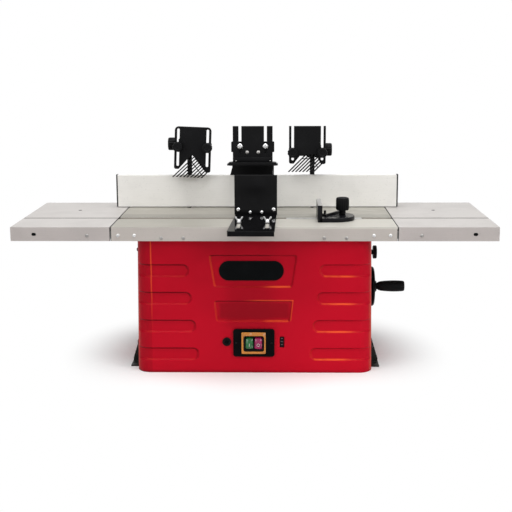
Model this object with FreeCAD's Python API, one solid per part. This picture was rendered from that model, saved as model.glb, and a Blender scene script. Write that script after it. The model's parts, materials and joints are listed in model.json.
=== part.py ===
import FreeCAD, Part
import math
import os

V = FreeCAD.Vector
AXIS_X = V(1, 0, 0)
AXIS_Y = V(0, 1, 0)
AXIS_Z = V(0, 0, 1)
full_turn = 360.0

# A benchtop spindle moulder. Millimetres: X to the right, Y to the back, Z up from the floor.
# The origin is the centre of the four foot holes, below the middle of the table.

# General fits and cuts
overrun = 5.0
shortest_edge = 0.001
running_fit = 0.05
loose_fit = 0.3
plate_gap = 0.3
flat_share = 0.5
quarter_bulge_share = 1 - math.sqrt(0.5)

# Tables
table_height = 325.0
table_length = 610.0
table_depth = 360.0
table_thickness = 10.0
skirt_height = 30.0
skirt_wall = 5.0
extension_length = 213.4
seam_gap = 1.6
groove_width = 5.0
groove_depth = 2.0
skirt_hole_reach = 165.0
skirt_hole_drop = 15.5
skirt_hole_length = 10.0
skirt_hole_width = 7.0
top_screw_reach = 109.0
top_screw_y = 56.0
top_screw_radius = 4.0
top_screw_depth = 5.0
front_edge = -table_depth / 2
rear_edge = table_depth / 2
table_end = table_length / 2
skirt_hole_x = table_end + skirt_hole_reach
top_screw_x = table_end + top_screw_reach
table_under = table_height - table_thickness
skirt_bottom = table_height - skirt_height

# Skirt screws
body_screw_xs = (150.0, 197.0)
body_screw_drop = 23.5
rail_screw_offsets = (-50.0, -15.0, 51.0)
rail_screw_xs = [table_end + offset for offset in rail_screw_offsets]
rail_screw_drop = 18.0
skirt_head_radius = 4.5
skirt_head_height = 2.5
skirt_shank_radius = 2.5
rail_inner_reach = 62.0
rail_outer_reach = 63.0
rail_start = table_end - rail_inner_reach
rail_end = table_end + rail_outer_reach
rail_thickness = 5.0
rail_height = 15.0
lug_margin = 12.0

# Mitre track
track_centre_y = -58.0
track_width = 56.0
track_thickness = 6.0
track_fit = 0.3
bar_slot_width = 20.0
bar_slot_depth = 5.0

# Spindle opening and its ring
spindle_x = 0.0
spindle_inset = 80.0
spindle_y = rear_edge - spindle_inset
ring_radius = 65.0
ring_bore_radius = 31.0
ring_thickness = 5.0
ring_ledge = 7.0

# Body
body_width_top = 507.0
body_flare = 9.0
body_setback = 15.0
body_width_bottom = body_width_top + body_flare
body_depth_top = table_depth - body_setback * 2
body_depth_bottom = body_depth_top + body_flare
body_corner_radius = 31.0
body_wall = 2.0
body_flange = 18.0
body_height = table_under
press_depth = 4.0
panel_depth = 6.0
rib_height = 29.0
rib_tops = (242.0, 181.0, 119.0, 56.5)
rib_inner_ends = (140.0, 135.0, 126.0, 120.0)
rib_end_inset = 12.0
panel_corner_radius = 7.0
panel_x = -2.0
upper_panel_top = 262.5
upper_panel_bottom = 190.0
upper_panel_top_width = 192.0
upper_panel_bottom_width = 170.0
lower_panel_top = 162.0
lower_panel_bottom = 114.0
lower_panel_top_width = 172.0
lower_panel_bottom_width = 161.5
vent_count = 7
vent_pitch = 14.0
vent_width = 5.0
vent_length = 70.0
vent_x = 90.0
vent_z = 200.0

# Base plate
base_thickness = 2.0
base_slot_count = 6
base_slot_pitch = 24.0
base_slot_width = 8.0
base_slot_length = 90.0

# Feet
foot_inset = 66.0
foot_y = body_depth_bottom / 2 - foot_inset
foot_projection = 19.0
foot_height = 60.0
foot_width = 44.0
foot_sheet = 3.0
foot_lip = 8.0
foot_hole_radius = 4.5
foot_hole_reach = 10.5
foot_screw_z = 40.0
foot_screw_head_radius = 5.0
foot_screw_head_height = 3.0
foot_screw_radius = 3.0
foot_screw_length = 14.0

# Badge and switch
badge_x = -6.0
badge_z = 227.0
badge_length = 140.0
badge_height = 43.0
badge_thickness = 1.5
switch_x = -1.0
switch_z = 68.0
switch_plate_width = 90.0
switch_plate_height = 62.0
switch_plate_radius = 6.0
switch_plate_thickness = 3.5
switch_frame_width = 55.0
switch_frame_height = 48.5
switch_frame_thickness = 2.0
switch_box_width = 46.0
switch_box_height = 40.0
switch_box_depth = 48.0
frame_window_width = 43.0
frame_window_height = 37.0
button_width = 17.5
button_height = 29.0
button_depth = 14.0
button_spacing = 19.5
button_proud = 3.0
button_travel = 3.0
button_gap = 0.35
reset_x = -60.0
reset_z = 70.0
reset_flange_radius = 9.5
reset_flange_thickness = 2.5
reset_barrel_radius = 7.5
reset_bore_radius = 5.5
reset_button_radius = 5.2
reset_button_proud = 2.0
reset_button_length = 12.0
reset_body_size = 26.0
reset_body_depth = 40.0
dial_x = 60.0
dial_z = 69.0
dial_slot_width = 9.4
dial_slot_height = 24.0
dial_radius = 17.0
dial_width = 8.0
dial_proud = 1.0
dial_axle_radius = 2.0
dial_cheek = 3.0
dial_box_depth = 40.0
dial_box_height = 50.0
gland_x = -180.0
gland_z = 50.0
gland_radius = 10.0
gland_head = 14.0
gland_hole_radius = 4.0
gland_inner_length = 16.0
gland_flange_radius = 13.0
gland_flange = 4.0

# Motor lift
rod_x_offset = 75.0
rod_radius = 7.0
carriage_bottom_drop = 153.0
carriage_bottom = table_height - carriage_bottom_drop
carriage_height = 53.0
carriage_ring_wall = 9.0
rod_boss_radius = 14.0
carriage_web = 20.0
nut_arm_bottom_drop = 141.0
nut_arm_bottom = table_height - nut_arm_bottom_drop
nut_arm_height = 28.0
nut_arm_width = 24.0
lock_pad = 6.0
screw_offset = 75.0
screw_y = spindle_y - screw_offset
screw_radius = 6.0
screw_shank_radius = 4.0
screw_collar_radius = 7.0
screw_collar_height = 3.0
crank_drop = 175.0
crank_z = table_height - crank_drop
gear_pitch_radius = 20.0
gear_teeth = 16
gear_addendum = 2.0
gear_dedendum = 2.6
gear_face_share = 0.3
gear_tooth_share = 0.38
gear_tip_share = 0.2
gear_mesh_share = 0.5
gear_hub_radius = 11.0
gear_hub_length = 11.0
shaft_radius = 5.0
shaft_inner_end = 11.0
stand_left = -18.0
stand_right = 45.0
stand_half_depth = 16.0
stand_top_drop = 25.0
stand_ear_width = 12.0
stand_ear_rise = 20.0
pivot_depth = 14.0
bush_tube_radius = 9.0
bush_flange_radius = 15.0
bush_flange = 5.0
bush_inner_length = 12.0
top_bush_length = 8.0
top_bush_radius = 13.0

# Motor and spindle
motor_radius = 43.0
motor_wall = 4.0
motor_bottom_drop = 215.0
motor_bottom = table_height - motor_bottom_drop
motor_length = 152.0
motor_end_thickness = 12.0
upper_bearing_radius = 16.0
lower_bearing_radius = 11.0
bearing_height = 9.0
shaft_lower_radius = 5.0
shaft_core_radius = 7.0
shaft_upper_radius = 8.0
nose_radius = 11.0
nose_length = 34.0
core_radius = 30.0
core_bottom_drop = 183.0
core_bottom = table_height - core_bottom_drop
core_length = 68.0
commutator_radius = 14.0
commutator_length = 18.0
commutator_gap = 6.0
fan_radius = 34.0
fan_bottom_drop = 199.0
fan_bottom = table_height - fan_bottom_drop
fan_thickness = 8.0
collet_bottom_drop = 49.0
collet_bottom = table_height - collet_bottom_drop
collet_length = 26.0
collet_radius = 8.0
collet_bore_radius = 6.0
nut_bottom_drop = 37.0
nut_bottom = table_height - nut_bottom_drop
nut_height = 22.0
nut_radius = 15.0
nut_sides = 6
nut_mouth_radius = 7.5
nut_lip = 8.0

# Handwheel, its grip, and the lock knob
wheel_radius = 46.5
wheel_rim_radius = 5.0
wheel_stand_off = 9.64
wheel_web = 4.0
wheel_dish = 5.0
wheel_hub_radius = 13.0
wheel_hub_length = 16.0
grip_arm = 33.0
grip_rise_angle = 14.0
grip_length = 67.0
grip_neck_share = 0.05
grip_shoulder_share = 0.19
grip_shoulder_radius_share = 0.86
grip_thick_share = 0.62
grip_nose_share = 0.95
grip_neck_radius = 7.0
grip_radius = 13.0
grip_end_radius = 10.5
grip_bore_radius = 3.1
grip_bolt_radius = 3.0
grip_bolt_head = 5.0
grip_stand_off = 1.0
lock_drop = 108.0
lock_z = table_height - lock_drop
lock_rod_radius = 4.0
lock_stem_radius = 6.0
lock_knob_radius = 16.0
lock_stand_off = 24.1
lock_knob_thickness = 9.0

# Fence
fence_setback = 2.0
fence_face_y = spindle_y + fence_setback
face_thickness = 16.0
face_bottom_gap = 2.0
face_height = 75.0
left_face_inner = -50.0
left_face_outer = -334.5
right_face_inner = 48.0
right_face_outer = 336.0
end_cap = 3.5
end_cap_rise = 1.5
face_groove_height = 10.0
face_groove_depth = 6.0
fence_lift = 0.2
bracket_thickness = 6.0
bracket_height = 68.0
bracket_outer = 40.0
bracket_foot_width = 44.0
bracket_foot_depth = 42.0
bracket_foot_height = 8.0
left_post_x = -160.5
right_post_x = 133.0
post_size = 9.0
post_top_rise = 165.0
post_top = table_height + post_top_rise
clamp_offset = 22.5
clamp_slot_width = 9.0
clamp_slot_front = 95.0
clamp_slot_inset = 23.0
clamp_slot_rear = rear_edge - clamp_slot_inset
clamp_stud_radius = 4.0
clamp_knob_radius = 12.0
clamp_knob_height = 18.0
clamp_nut_radius = 7.0
clamp_notch = 3.0
clamp_nut_height = 7.0
hood_left = -62.0
hood_right = 40.0
hood_depth = 124.0
hood_back_y = fence_face_y + hood_depth
hood_top_rise = 77.6
hood_top = table_height + hood_top_rise
hood_wall = 2.0
port_radius = 50.0
port_wall = 2.0
port_length = 60.0
port_rise = 39.0
port_z = table_height + port_rise
port_flange = 52.0
port_flange_thickness = 3.0

# Feather combs
comb_thickness = 5.0
comb_stand_off = 20.0
comb_front_y = fence_face_y - comb_stand_off
comb_width = 86.0
comb_slot_width = 6.6
comb_slot_spacing = 71.0
comb_corner_radius = 9.0
comb_foot = 11.0
finger_pitch = 8.4
finger_width = 2.4
finger_count = 10
left_comb_x = -151.5
left_comb_top_rise = 193.0
left_comb_top = table_height + left_comb_top_rise
left_comb_left_corner_rise = 93.0
left_comb_left_corner = table_height + left_comb_left_corner_rise
left_comb_right_corner_rise = 87.0
left_comb_right_corner = table_height + left_comb_right_corner_rise
left_comb_apex_left = -159.0
left_comb_apex_right = -153.0
left_comb_apex_rise = 126.0
left_comb_apex = table_height + left_comb_apex_rise
left_comb_tip_rise = 74.0
left_comb_tip = table_height + left_comb_tip_rise
left_slot_top_rise = 188.0
left_slot_top = table_height + left_slot_top_rise
left_slot_bottom_rise = 100.0
left_slot_bottom = table_height + left_slot_bottom_rise
left_knob_rise = 146.0
left_knob_z = table_height + left_knob_rise
left_post_knob_rise = 149.5
left_post_knob_z = table_height + left_post_knob_rise
left_finger_start = -197.0
right_comb_x = 120.0
right_comb_top_rise = 194.5
right_comb_top = table_height + right_comb_top_rise
right_comb_left_corner_rise = 106.5
right_comb_left_corner = table_height + right_comb_left_corner_rise
right_comb_right_corner_rise = 105.5
right_comb_right_corner = table_height + right_comb_right_corner_rise
right_comb_apex_left = 104.0
right_comb_apex_right = 140.0
right_comb_apex_rise = 127.0
right_comb_apex = table_height + right_comb_apex_rise
right_comb_tip_rise = 87.0
right_comb_tip = table_height + right_comb_tip_rise
right_slot_bottom_rise = 114.0
right_slot_bottom = table_height + right_slot_bottom_rise
right_knob_rise = 133.0
right_knob_z = table_height + right_knob_rise
right_post_knob_rise = 135.5
right_post_knob_z = table_height + right_post_knob_rise
right_finger_start = 74.0
comb_knob_radius = 12.0
comb_knob_length = 16.0
comb_stud_radius = 3.0
holder_bar_height = 18.0
holder_bar_depth = 14.0
holder_bar_end = 8.0
holder_block_half = 14.0
holder_block_height = 30.0
post_knob_radius = 14.5
post_knob_length = 16.5
post_knob_stud_radius = 4.0
post_knob_inset = 10.5

# Centre pressure unit
pressure_x = -8.5
pressure_plate_width = 94.0
pressure_plate_thickness = 4.0
pressure_plate_bottom_rise = 104.0
pressure_plate_bottom = table_height + pressure_plate_bottom_rise
pressure_plate_top_rise = 193.5
pressure_plate_top = table_height + pressure_plate_top_rise
pressure_slot_spacing = 60.0
pressure_slot_width = 6.6
pressure_slot_bottom_rise = 130.0
pressure_slot_bottom = table_height + pressure_slot_bottom_rise
pressure_bolt_rise = 146.0
pressure_bolt_z = table_height + pressure_bolt_rise
pressure_bolt_head_radius = 7.0
pressure_bolt_head = 6.0
pressure_bolt_radius = 3.0
bracket_ear_width = 102.0
bracket_ear_bottom_rise = 132.0
bracket_ear_bottom = table_height + bracket_ear_bottom_rise
bracket_ear_top_rise = 157.0
bracket_ear_top = table_height + bracket_ear_top_rise
centre_bracket_sheet = 4.0
centre_bracket_reach = 55.0
shoe_width = 119.0
shoe_reach = 41.0
shoe_front_y = fence_face_y - shoe_reach
shoe_sheet = 3.0
shoe_flange_height = 16.0

# Front guard
guard_x = 1.5
guard_foot_x = -5.0
guard_foot_width = 99.5
guard_plate_width = 93.5
guard_sheet = 2.0
guard_overhang = 63.0
guard_foot_front = front_edge - guard_overhang
guard_plate_y = -24.0
guard_plate_top_rise = 93.0
guard_plate_top = table_height + guard_plate_top_rise
guard_lift = 0.2
guard_lip = 11.0
guard_flange_height = 20.0
guard_outer_bolt_x = 40.0
guard_outer_bolt_rise = 14.5
guard_inner_bolt_x = 13.0
guard_inner_bolt_rise = 8.5
guard_bolt_head_radius = 4.5
guard_bolt_head = 3.5
guard_bolt_radius = 2.5
wing_inset = 46.0
wing_y = front_edge + wing_inset
wing_left_x = -34.5
wing_right_x = 27.0
wing_hub_radius = 6.0
wing_hub_height = 8.0
wing_stud_radius = 3.0
wing_sheet = 3.0
wing_span = 9.5
wing_height = 14.0
wing_rise = 3.0
wing_slot_width = 7.4
wing_slot_overhang = 24.0
wing_slot_front = front_edge - wing_slot_overhang
wing_slot_inset = 52.0
wing_slot_rear = front_edge + wing_slot_inset

# Mitre gauge
mitre_face_x = 138.0
mitre_face_thickness = 10.0
mitre_face_height = 37.5
mitre_face_length = 103.0
mitre_lift = 0.3
mitre_front_offset = 62.0
mitre_base_right = 221.0
mitre_base_radius = 45.5
mitre_strip_depth = 22.0
mitre_hollow_left = 150.0
mitre_hollow_right = 193.0
mitre_boss_radius = 8.0
mitre_boss_height = 9.0
mitre_base_height = 9.0
mitre_pivot_x = 156.0
mitre_pivot_radius = 4.0
mitre_knob_x = 195.0
mitre_knob_radius = 14.7
mitre_knob_height = 27.8
mitre_knob_rise = 18.6
mitre_neck_radius = 7.0
mitre_stud_radius = 3.0
mitre_slot_width = 7.4
mitre_slot_angle = 80.0
mitre_slot_start_angle = -72.0
mitre_bar_left = 70.0
mitre_bar_right = 238.0
mitre_bar_width = 19.4
mitre_bar_thickness = 4.5


def ordered(first, second):
    """The two numbers, the smaller one first."""
    return min(first, second), max(first, second)


def block(x_range, y_range, z_range):
    """A box between two corners, given as one pair along each axis."""
    x0, x1 = ordered(*x_range)
    y0, y1 = ordered(*y_range)
    z0, z1 = ordered(*z_range)
    return Part.makeBox(x1 - x0, y1 - y0, z1 - z0, V(x0, y0, z0))


def rod_x(x_range, y, z, radius):
    """A round bar along X."""
    x0, x1 = ordered(*x_range)
    return Part.makeCylinder(radius, x1 - x0, V(x0, y, z), AXIS_X)


def rod_y(y_range, x, z, radius):
    """A round bar along Y."""
    y0, y1 = ordered(*y_range)
    return Part.makeCylinder(radius, y1 - y0, V(x, y0, z), AXIS_Y)


def rod_z(z_range, x, y, radius):
    """A round bar along Z."""
    z0, z1 = ordered(*z_range)
    return Part.makeCylinder(radius, z1 - z0, V(x, y, z0), AXIS_Z)


def rounded_wire(u_range, v_range, radius, at):
    """A rectangle with round corners; at(u, v) gives each point its place."""
    u0, u1 = ordered(*u_range)
    v0, v1 = ordered(*v_range)
    slack = radius * quarter_bulge_share
    corners = (
        ((u1 - radius, v0), (u1 - slack, v0 + slack), (u1, v0 + radius)),
        ((u1, v1 - radius), (u1 - slack, v1 - slack), (u1 - radius, v1)),
        ((u0 + radius, v1), (u0 + slack, v1 - slack), (u0, v1 - radius)),
        ((u0, v0 + radius), (u0 + slack, v0 + slack), (u0 + radius, v0)),
    )
    edges = []
    last = corners[-1][-1]
    for start, middle, end in corners:
        if at(*last).distanceToPoint(at(*start)) > shortest_edge:
            edges.append(Part.LineSegment(at(*last), at(*start)).toShape())
        edges.append(Part.Arc(at(*start), at(*middle), at(*end)).toShape())
        last = end
    return Part.Wire(edges)


def rounded_prism_y(x_range, z_range, radius, y_range):
    """A round-cornered plate whose thickness is along Y."""
    y0, y1 = ordered(*y_range)
    wire = rounded_wire(x_range, z_range, radius, lambda u, v: V(u, y0, v))
    return Part.Face(wire).extrude(V(0, y1 - y0, 0))


def rounded_prism_z(x_range, y_range, radius, z_range):
    """A round-cornered plate whose thickness is along Z."""
    z0, z1 = ordered(*z_range)
    wire = rounded_wire(x_range, y_range, radius, lambda u, v: V(u, v, z0))
    return Part.Face(wire).extrude(V(0, 0, z1 - z0))


def plate_y(points, y_range):
    """A flat plate from an outline in X and Z, with its thickness along Y."""
    y0, y1 = ordered(*y_range)
    corners = [V(x, y0, z) for x, z in points]
    face = Part.Face(Part.makePolygon(corners + corners[:1]))
    return face.extrude(V(0, y1 - y0, 0))


def plate_z(points, z_range):
    """A flat plate from an outline in X and Y, with its thickness along Z."""
    z0, z1 = ordered(*z_range)
    corners = [V(x, y, z0) for x, y in points]
    face = Part.Face(Part.makePolygon(corners + corners[:1]))
    return face.extrude(V(0, 0, z1 - z0))


def turned_x(profile, y, z):
    """A body of revolution about an X axis, from points of X and radius."""
    corners = [V(x, radius, 0) for x, radius in profile]
    face = Part.Face(Part.makePolygon(corners + corners[:1]))
    solid = face.revolve(V(0, 0, 0), AXIS_X, full_turn)
    solid.translate(V(0, y, z))
    return solid


def turned_y(profile, x, z):
    """A body of revolution about a Y axis, from points of Y and radius."""
    corners = [V(radius, y, 0) for y, radius in profile]
    face = Part.Face(Part.makePolygon(corners + corners[:1]))
    solid = face.revolve(V(0, 0, 0), AXIS_Y, full_turn)
    solid.translate(V(x, 0, z))
    return solid


def turned_z(profile, x, y):
    """A body of revolution about a Z axis, from points of Z and radius."""
    corners = [V(radius, 0, z) for z, radius in profile]
    face = Part.Face(Part.makePolygon(corners + corners[:1]))
    solid = face.revolve(V(0, 0, 0), AXIS_Z, full_turn)
    solid.translate(V(x, y, 0))
    return solid


def joined(shapes):
    """The shapes as one solid."""
    result = shapes[0]
    if len(shapes) > 1:
        result = result.fuse(shapes[1:])
    return result.removeSplitter()


def save(name, *solids):
    """Write one piece, or a group of like pieces, to its own file."""
    shape = solids[0] if len(solids) == 1 else Part.makeCompound(list(solids))
    for number, solid in enumerate(shape.Solids):
        if not solid.isValid() or solid.Volume <= 0:
            print("bad solid", name, number)
    if len(shape.Solids) != len(solids):
        print("solid count", name, len(shape.Solids), len(solids))
    shape.exportStep(os.path.join("parts", name + ".step"))


# The body's flared form

full_height = (-overrun, body_height + overrun)
far_x = body_width_bottom
far_y = body_depth_bottom


def half_width(z):
    """Half the body's outer width at a height."""
    return (body_width_top + (body_width_bottom - body_width_top) * (body_height - z) / body_height) / 2


def half_depth(z):
    """Half the body's outer depth at a height."""
    return (body_depth_top + (body_depth_bottom - body_depth_top) * (body_height - z) / body_height) / 2


def body_form(inset, z_range):
    """The body's form, drawn in by an inset, between two heights: flat flared walls and round corners."""
    rings = []
    for z in full_height:
        across = half_width(z) - inset
        along = half_depth(z) - inset
        rings.append([V(-across, -along, z), V(across, -along, z), V(across, along, z),
                      V(-across, along, z)])
    low, high = rings
    outlines = [low[::-1], high]
    for number in range(len(low)):
        outlines.append([low[number - 1], low[number], high[number], high[number - 1]])
    faces = [Part.Face(Part.makePolygon(outline + outline[:1])) for outline in outlines]
    form = Part.makeSolid(Part.makeShell(faces))
    upright = [edge for edge in form.Edges if abs(edge.Vertexes[0].Z - edge.Vertexes[1].Z) > shortest_edge]
    form = form.makeFillet(body_corner_radius - inset, upright)
    if z_range == full_height:
        return form
    return form.common(block((-far_x, far_x), (-far_y, far_y), z_range))


outer_form = body_form(0, (0, body_height))
outer_form_long = body_form(0, full_height)


def rib_zone(side, top, inner_end, grow):
    """The space that one pressed rib takes on the front wall, ending in the corner's bend."""
    z_range = (top - rib_height - grow, top + grow)
    outer_end = body_width_top / 2 - rib_end_inset
    return rounded_prism_y((side * (inner_end - grow), side * (outer_end + grow)), z_range,
                           rib_height / 2 + grow, (-far_y, body_corner_radius - body_depth_top / 2))


def panel_zone(top, bottom, top_width, bottom_width, grow):
    """The space of one pressed panel on the front, wider at its top."""
    points = (
        (panel_x - bottom_width / 2 - grow, bottom - grow),
        (panel_x + bottom_width / 2 + grow, bottom - grow),
        (panel_x + top_width / 2 + grow, top + grow),
        (panel_x - top_width / 2 - grow, top + grow),
    )
    prism = plate_y(points, (-far_y, 0))
    upright = [edge for edge in prism.Edges if abs(edge.tangentAt(edge.FirstParameter).y) > flat_share]
    return prism.makeFillet(panel_corner_radius + grow, upright)


def pressed_zones(grow):
    """All pressed spaces, each with its depth."""
    zones = []
    for side in (-1, 1):
        for top, inner_end in zip(rib_tops, rib_inner_ends):
            zones.append((press_depth, rib_zone(side, top, inner_end, grow)))
    upper = panel_zone(upper_panel_top, upper_panel_bottom, upper_panel_top_width,
                       upper_panel_bottom_width, grow)
    lower = panel_zone(lower_panel_top, lower_panel_bottom, lower_panel_top_width,
                       lower_panel_bottom_width, grow)
    zones.append((press_depth, upper))
    zones.append((panel_depth, lower))
    return zones


def pressed(form, inset, grow):
    """A form with every rib and panel pressed into it."""
    for depth in (press_depth, panel_depth):
        skin = form.cut(body_form(inset + depth, full_height))
        spaces = [zone for zone_depth, zone in pressed_zones(grow) if zone_depth == depth]
        form = form.cut([space.common(skin) for space in spaces])
    return form


def front_wall_y(z):
    """Where the front wall's outer face stands at a height."""
    return -half_depth(z)


# Skirt screws, and the holes that they need

def skirt_screws():
    """Every screw of the table skirts, with its shank's end depth."""
    screws = []
    lug_depth = table_depth / 2 - half_depth(table_under)
    for end in (-1, 1):
        for side in (-1, 1):
            for x in body_screw_xs:
                screws.append((side * x, table_height - body_screw_drop, end,
                               lug_depth + body_wall + overrun))
            for x in rail_screw_xs:
                screws.append((side * x, table_height - rail_screw_drop, end, skirt_wall + rail_thickness))
    return screws


def skirt_shanks():
    """The shanks of the skirt screws."""
    shanks = []
    for x, z, end, depth in skirt_screws():
        shanks.append(rod_y((end * table_depth / 2, end * (table_depth / 2 - depth)), x, z,
                            skirt_shank_radius))
    return shanks


def foot_places():
    """The side and the end of each foot."""
    return [(side, end) for side in (-1, 1) for end in (-1, 1)]


def foot_shank(side, end):
    """The shank of a foot's screw, from outside the foot's sheet into the body."""
    outside = half_width(0) + foot_sheet
    return rod_x((side * outside, side * (outside - foot_screw_length)), end * foot_y, foot_screw_z,
                 foot_screw_radius)


def body_shell():
    """The red pressed-steel body: a flared box with flanges at its top and bottom."""
    inside = body_form(body_wall, (body_wall, body_height - body_wall))
    cavity = pressed(inside, body_wall, body_wall)
    mouth = body_form(body_flange, full_height)
    shell = pressed(outer_form, 0, 0).cut(cavity.fuse(mouth))
    holes = skirt_shanks()
    holes += [foot_shank(side, end) for side, end in foot_places()]
    front = (-far_y, -body_depth_top / 4)
    rear = (far_y, body_depth_top / 4)
    holes.append(block((switch_x - switch_box_width / 2, switch_x + switch_box_width / 2), front,
                       (switch_z - switch_box_height / 2, switch_z + switch_box_height / 2)))
    holes.append(rod_y(front, reset_x, reset_z, reset_barrel_radius))
    holes.append(rounded_prism_y((dial_x - dial_slot_width / 2, dial_x + dial_slot_width / 2),
                                 (dial_z - dial_slot_height / 2, dial_z + dial_slot_height / 2),
                                 dial_slot_width / 4, front))
    holes.append(rod_y(rear, gland_x, gland_z, gland_radius))
    right = (body_width_top / 4, far_x)
    holes.append(rod_x(right, screw_y, crank_z, bush_tube_radius))
    holes.append(rod_x(right, spindle_y, lock_z, bush_tube_radius))
    notch_half = clamp_nut_radius + clamp_notch
    for x in (left_post_x, right_post_x):
        holes.append(block((x - notch_half, x + notch_half), (0, clamp_slot_rear + clamp_notch),
                           (body_height - body_wall * 2, body_height + overrun)))
    for side in (-1, 1):
        for number in range(vent_count):
            z = vent_z + (number - (vent_count - 1) / 2) * vent_pitch
            holes.append(rounded_prism_y((side * vent_x - vent_length / 2, side * vent_x + vent_length / 2),
                                         (z - vent_width / 2, z + vent_width / 2), vent_width / 2, rear))
    return shell.cut(holes)


def base_plate():
    """The plate that closes the bottom, lying on the body's lower flange."""
    plate = body_form(body_wall + loose_fit, (body_wall, body_wall + base_thickness))
    slots = []
    for side in (-1, 1):
        for number in range(base_slot_count):
            x = side * (number + 1) * base_slot_pitch + side * rod_x_offset / 2
            slots.append(rounded_prism_z((x - base_slot_width / 2, x + base_slot_width / 2),
                                         (-base_slot_length, 0), base_slot_width / 2,
                                         (-overrun, body_wall + base_thickness + overrun)))
    return plate.cut(slots)


def mounting_foot(side, end):
    """One bent-sheet foot: back sheet, base with its hole, and a web towards the middle."""
    wall = half_width(0)
    inside = wall - foot_projection
    outside = wall + foot_projection
    y_range = (end * foot_y - foot_width / 2, end * foot_y + foot_width / 2)
    base = block((side * inside, side * outside), y_range, (0, foot_sheet))
    back = block((side * inside, side * (wall + foot_sheet)), y_range, (0, foot_height))
    points = ((side * inside, 0), (side * outside, 0), (side * outside, foot_lip),
              (side * (wall + foot_sheet), foot_height), (side * inside, foot_height))
    inner_y = end * (foot_y - foot_width / 2)
    web = plate_y(points, (inner_y, inner_y + end * foot_sheet))
    foot = joined([base, back, web]).cut(outer_form_long)
    hole = rod_z((-overrun, foot_sheet + overrun), side * (wall + foot_hole_reach), end * foot_y,
                 foot_hole_radius)
    return foot.cut([hole, foot_shank(side, end)])


def frame_screws():
    """The skirt screws, the foot screws and the flush screws in the extension tops."""
    screws = []
    for (x, z, end, _), shank in zip(skirt_screws(), skirt_shanks()):
        face = end * table_depth / 2
        head = rod_y((face, face + end * skirt_head_height), x, z, skirt_head_radius)
        screws.append(joined([head, shank]))
    for side, end in foot_places():
        outside = half_width(0) + foot_sheet
        head = rod_x((side * outside, side * (outside + foot_screw_head_height)), end * foot_y,
                     foot_screw_z,
                     foot_screw_head_radius)
        screws.append(joined([head, foot_shank(side, end)]))
    for side in (-1, 1):
        screws.append(rod_z((table_height - top_screw_depth, table_height - plate_gap), side * top_screw_x,
                            top_screw_y, top_screw_radius))
    return screws


# Tables

def table_channel(x_range):
    """A table plate with a skirt along its front and rear edges."""
    whole = block(x_range, (front_edge, rear_edge), (skirt_bottom, table_height))
    x0, x1 = ordered(*x_range)
    inside = block((x0 - overrun, x1 + overrun), (front_edge + skirt_wall, rear_edge - skirt_wall),
                   (skirt_bottom - overrun, table_under))
    return whole.cut(inside)


def clamp_slots():
    """The slots in which the fence's clamp bolts run."""
    slots = []
    for x in (left_post_x, right_post_x):
        slots.append(rounded_prism_z((x - clamp_slot_width / 2, x + clamp_slot_width / 2),
                                     (clamp_slot_front, clamp_slot_rear), clamp_slot_width / 2,
                                     (table_under - overrun, table_height + overrun)))
    return slots


def main_table():
    """The main table, with lugs inside its skirts that meet the body."""
    table = table_channel((-table_end, table_end))
    lugs = []
    for end in (-1, 1):
        for side in (-1, 1):
            x_range = (side * (body_screw_xs[0] - lug_margin), side * (body_screw_xs[1] + lug_margin))
            y_range = (end * (table_depth / 2 - skirt_wall), end * (body_depth_top / 2 - body_wall))
            lugs.append(block(x_range, y_range, (skirt_bottom, table_under)).cut(outer_form_long))
    table = joined([table] + lugs)
    through = (table_under - overrun, table_height + overrun)
    cuts = [block((-table_length, table_length),
                  (track_centre_y - track_width / 2, track_centre_y + track_width / 2),
                  (table_height - track_thickness, table_height + overrun))]
    cuts.append(rod_z(through, spindle_x, spindle_y, ring_radius - ring_ledge))
    cuts.append(rod_z((table_height - ring_thickness, table_height + overrun), spindle_x, spindle_y,
                      ring_radius + loose_fit))
    for x in (wing_left_x, wing_right_x):
        cuts.append(rod_z(through, guard_x + x, wing_y, wing_stud_radius + running_fit))
    return table.cut(cuts + clamp_slots() + skirt_shanks())


def extension_table(side):
    """One extension table with an end wall, a long groove in its top and holes in its skirts."""
    start = table_end + seam_gap
    end = start + extension_length
    table = table_channel((side * start, side * end))
    wall = block((side * (end - skirt_wall), side * end), (front_edge, rear_edge),
                 (skirt_bottom, table_height))
    table = joined([table, wall])
    groove_y = track_centre_y - groove_width / 2
    cuts = [block((side * (start - overrun), side * (end + overrun)), (groove_y, groove_y + groove_width),
                  (table_height - groove_depth, table_height + overrun))]
    hole_z = table_height - skirt_hole_drop
    hole_x = side * skirt_hole_x
    cuts.append(rounded_prism_y((hole_x - skirt_hole_length / 2, hole_x + skirt_hole_length / 2),
                                (hole_z - skirt_hole_width / 2, hole_z + skirt_hole_width / 2),
                                skirt_hole_width / 2, (front_edge - overrun, rear_edge + overrun)))
    cuts.append(rod_z((table_height - top_screw_depth, table_height + overrun), side * top_screw_x,
                      top_screw_y,
                      top_screw_radius))
    return table.cut(cuts + skirt_shanks())


def extension_rails():
    """The flat bars inside the skirts that carry the extension tables."""
    rails = []
    middle = table_height - rail_screw_drop
    for end in (-1, 1):
        inner = end * (table_depth / 2 - skirt_wall)
        for side in (-1, 1):
            rail = block((side * rail_start, side * rail_end), (inner, inner - end * rail_thickness),
                         (middle - rail_height / 2, middle + rail_height / 2))
            rails.append(rail.cut(skirt_shanks()))
    return rails


def mitre_track():
    """The track let into the main table, with the slot for the mitre gauge's bar."""
    half = track_width / 2 - track_fit
    track = block((-table_end, table_end), (track_centre_y - half, track_centre_y + half),
                  (table_height - track_thickness, table_height - track_fit))
    slot = block((-table_length, table_length),
                 (track_centre_y - bar_slot_width / 2, track_centre_y + bar_slot_width / 2),
                 (table_height - bar_slot_depth, table_height + overrun))
    return track.cut(slot)


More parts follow.
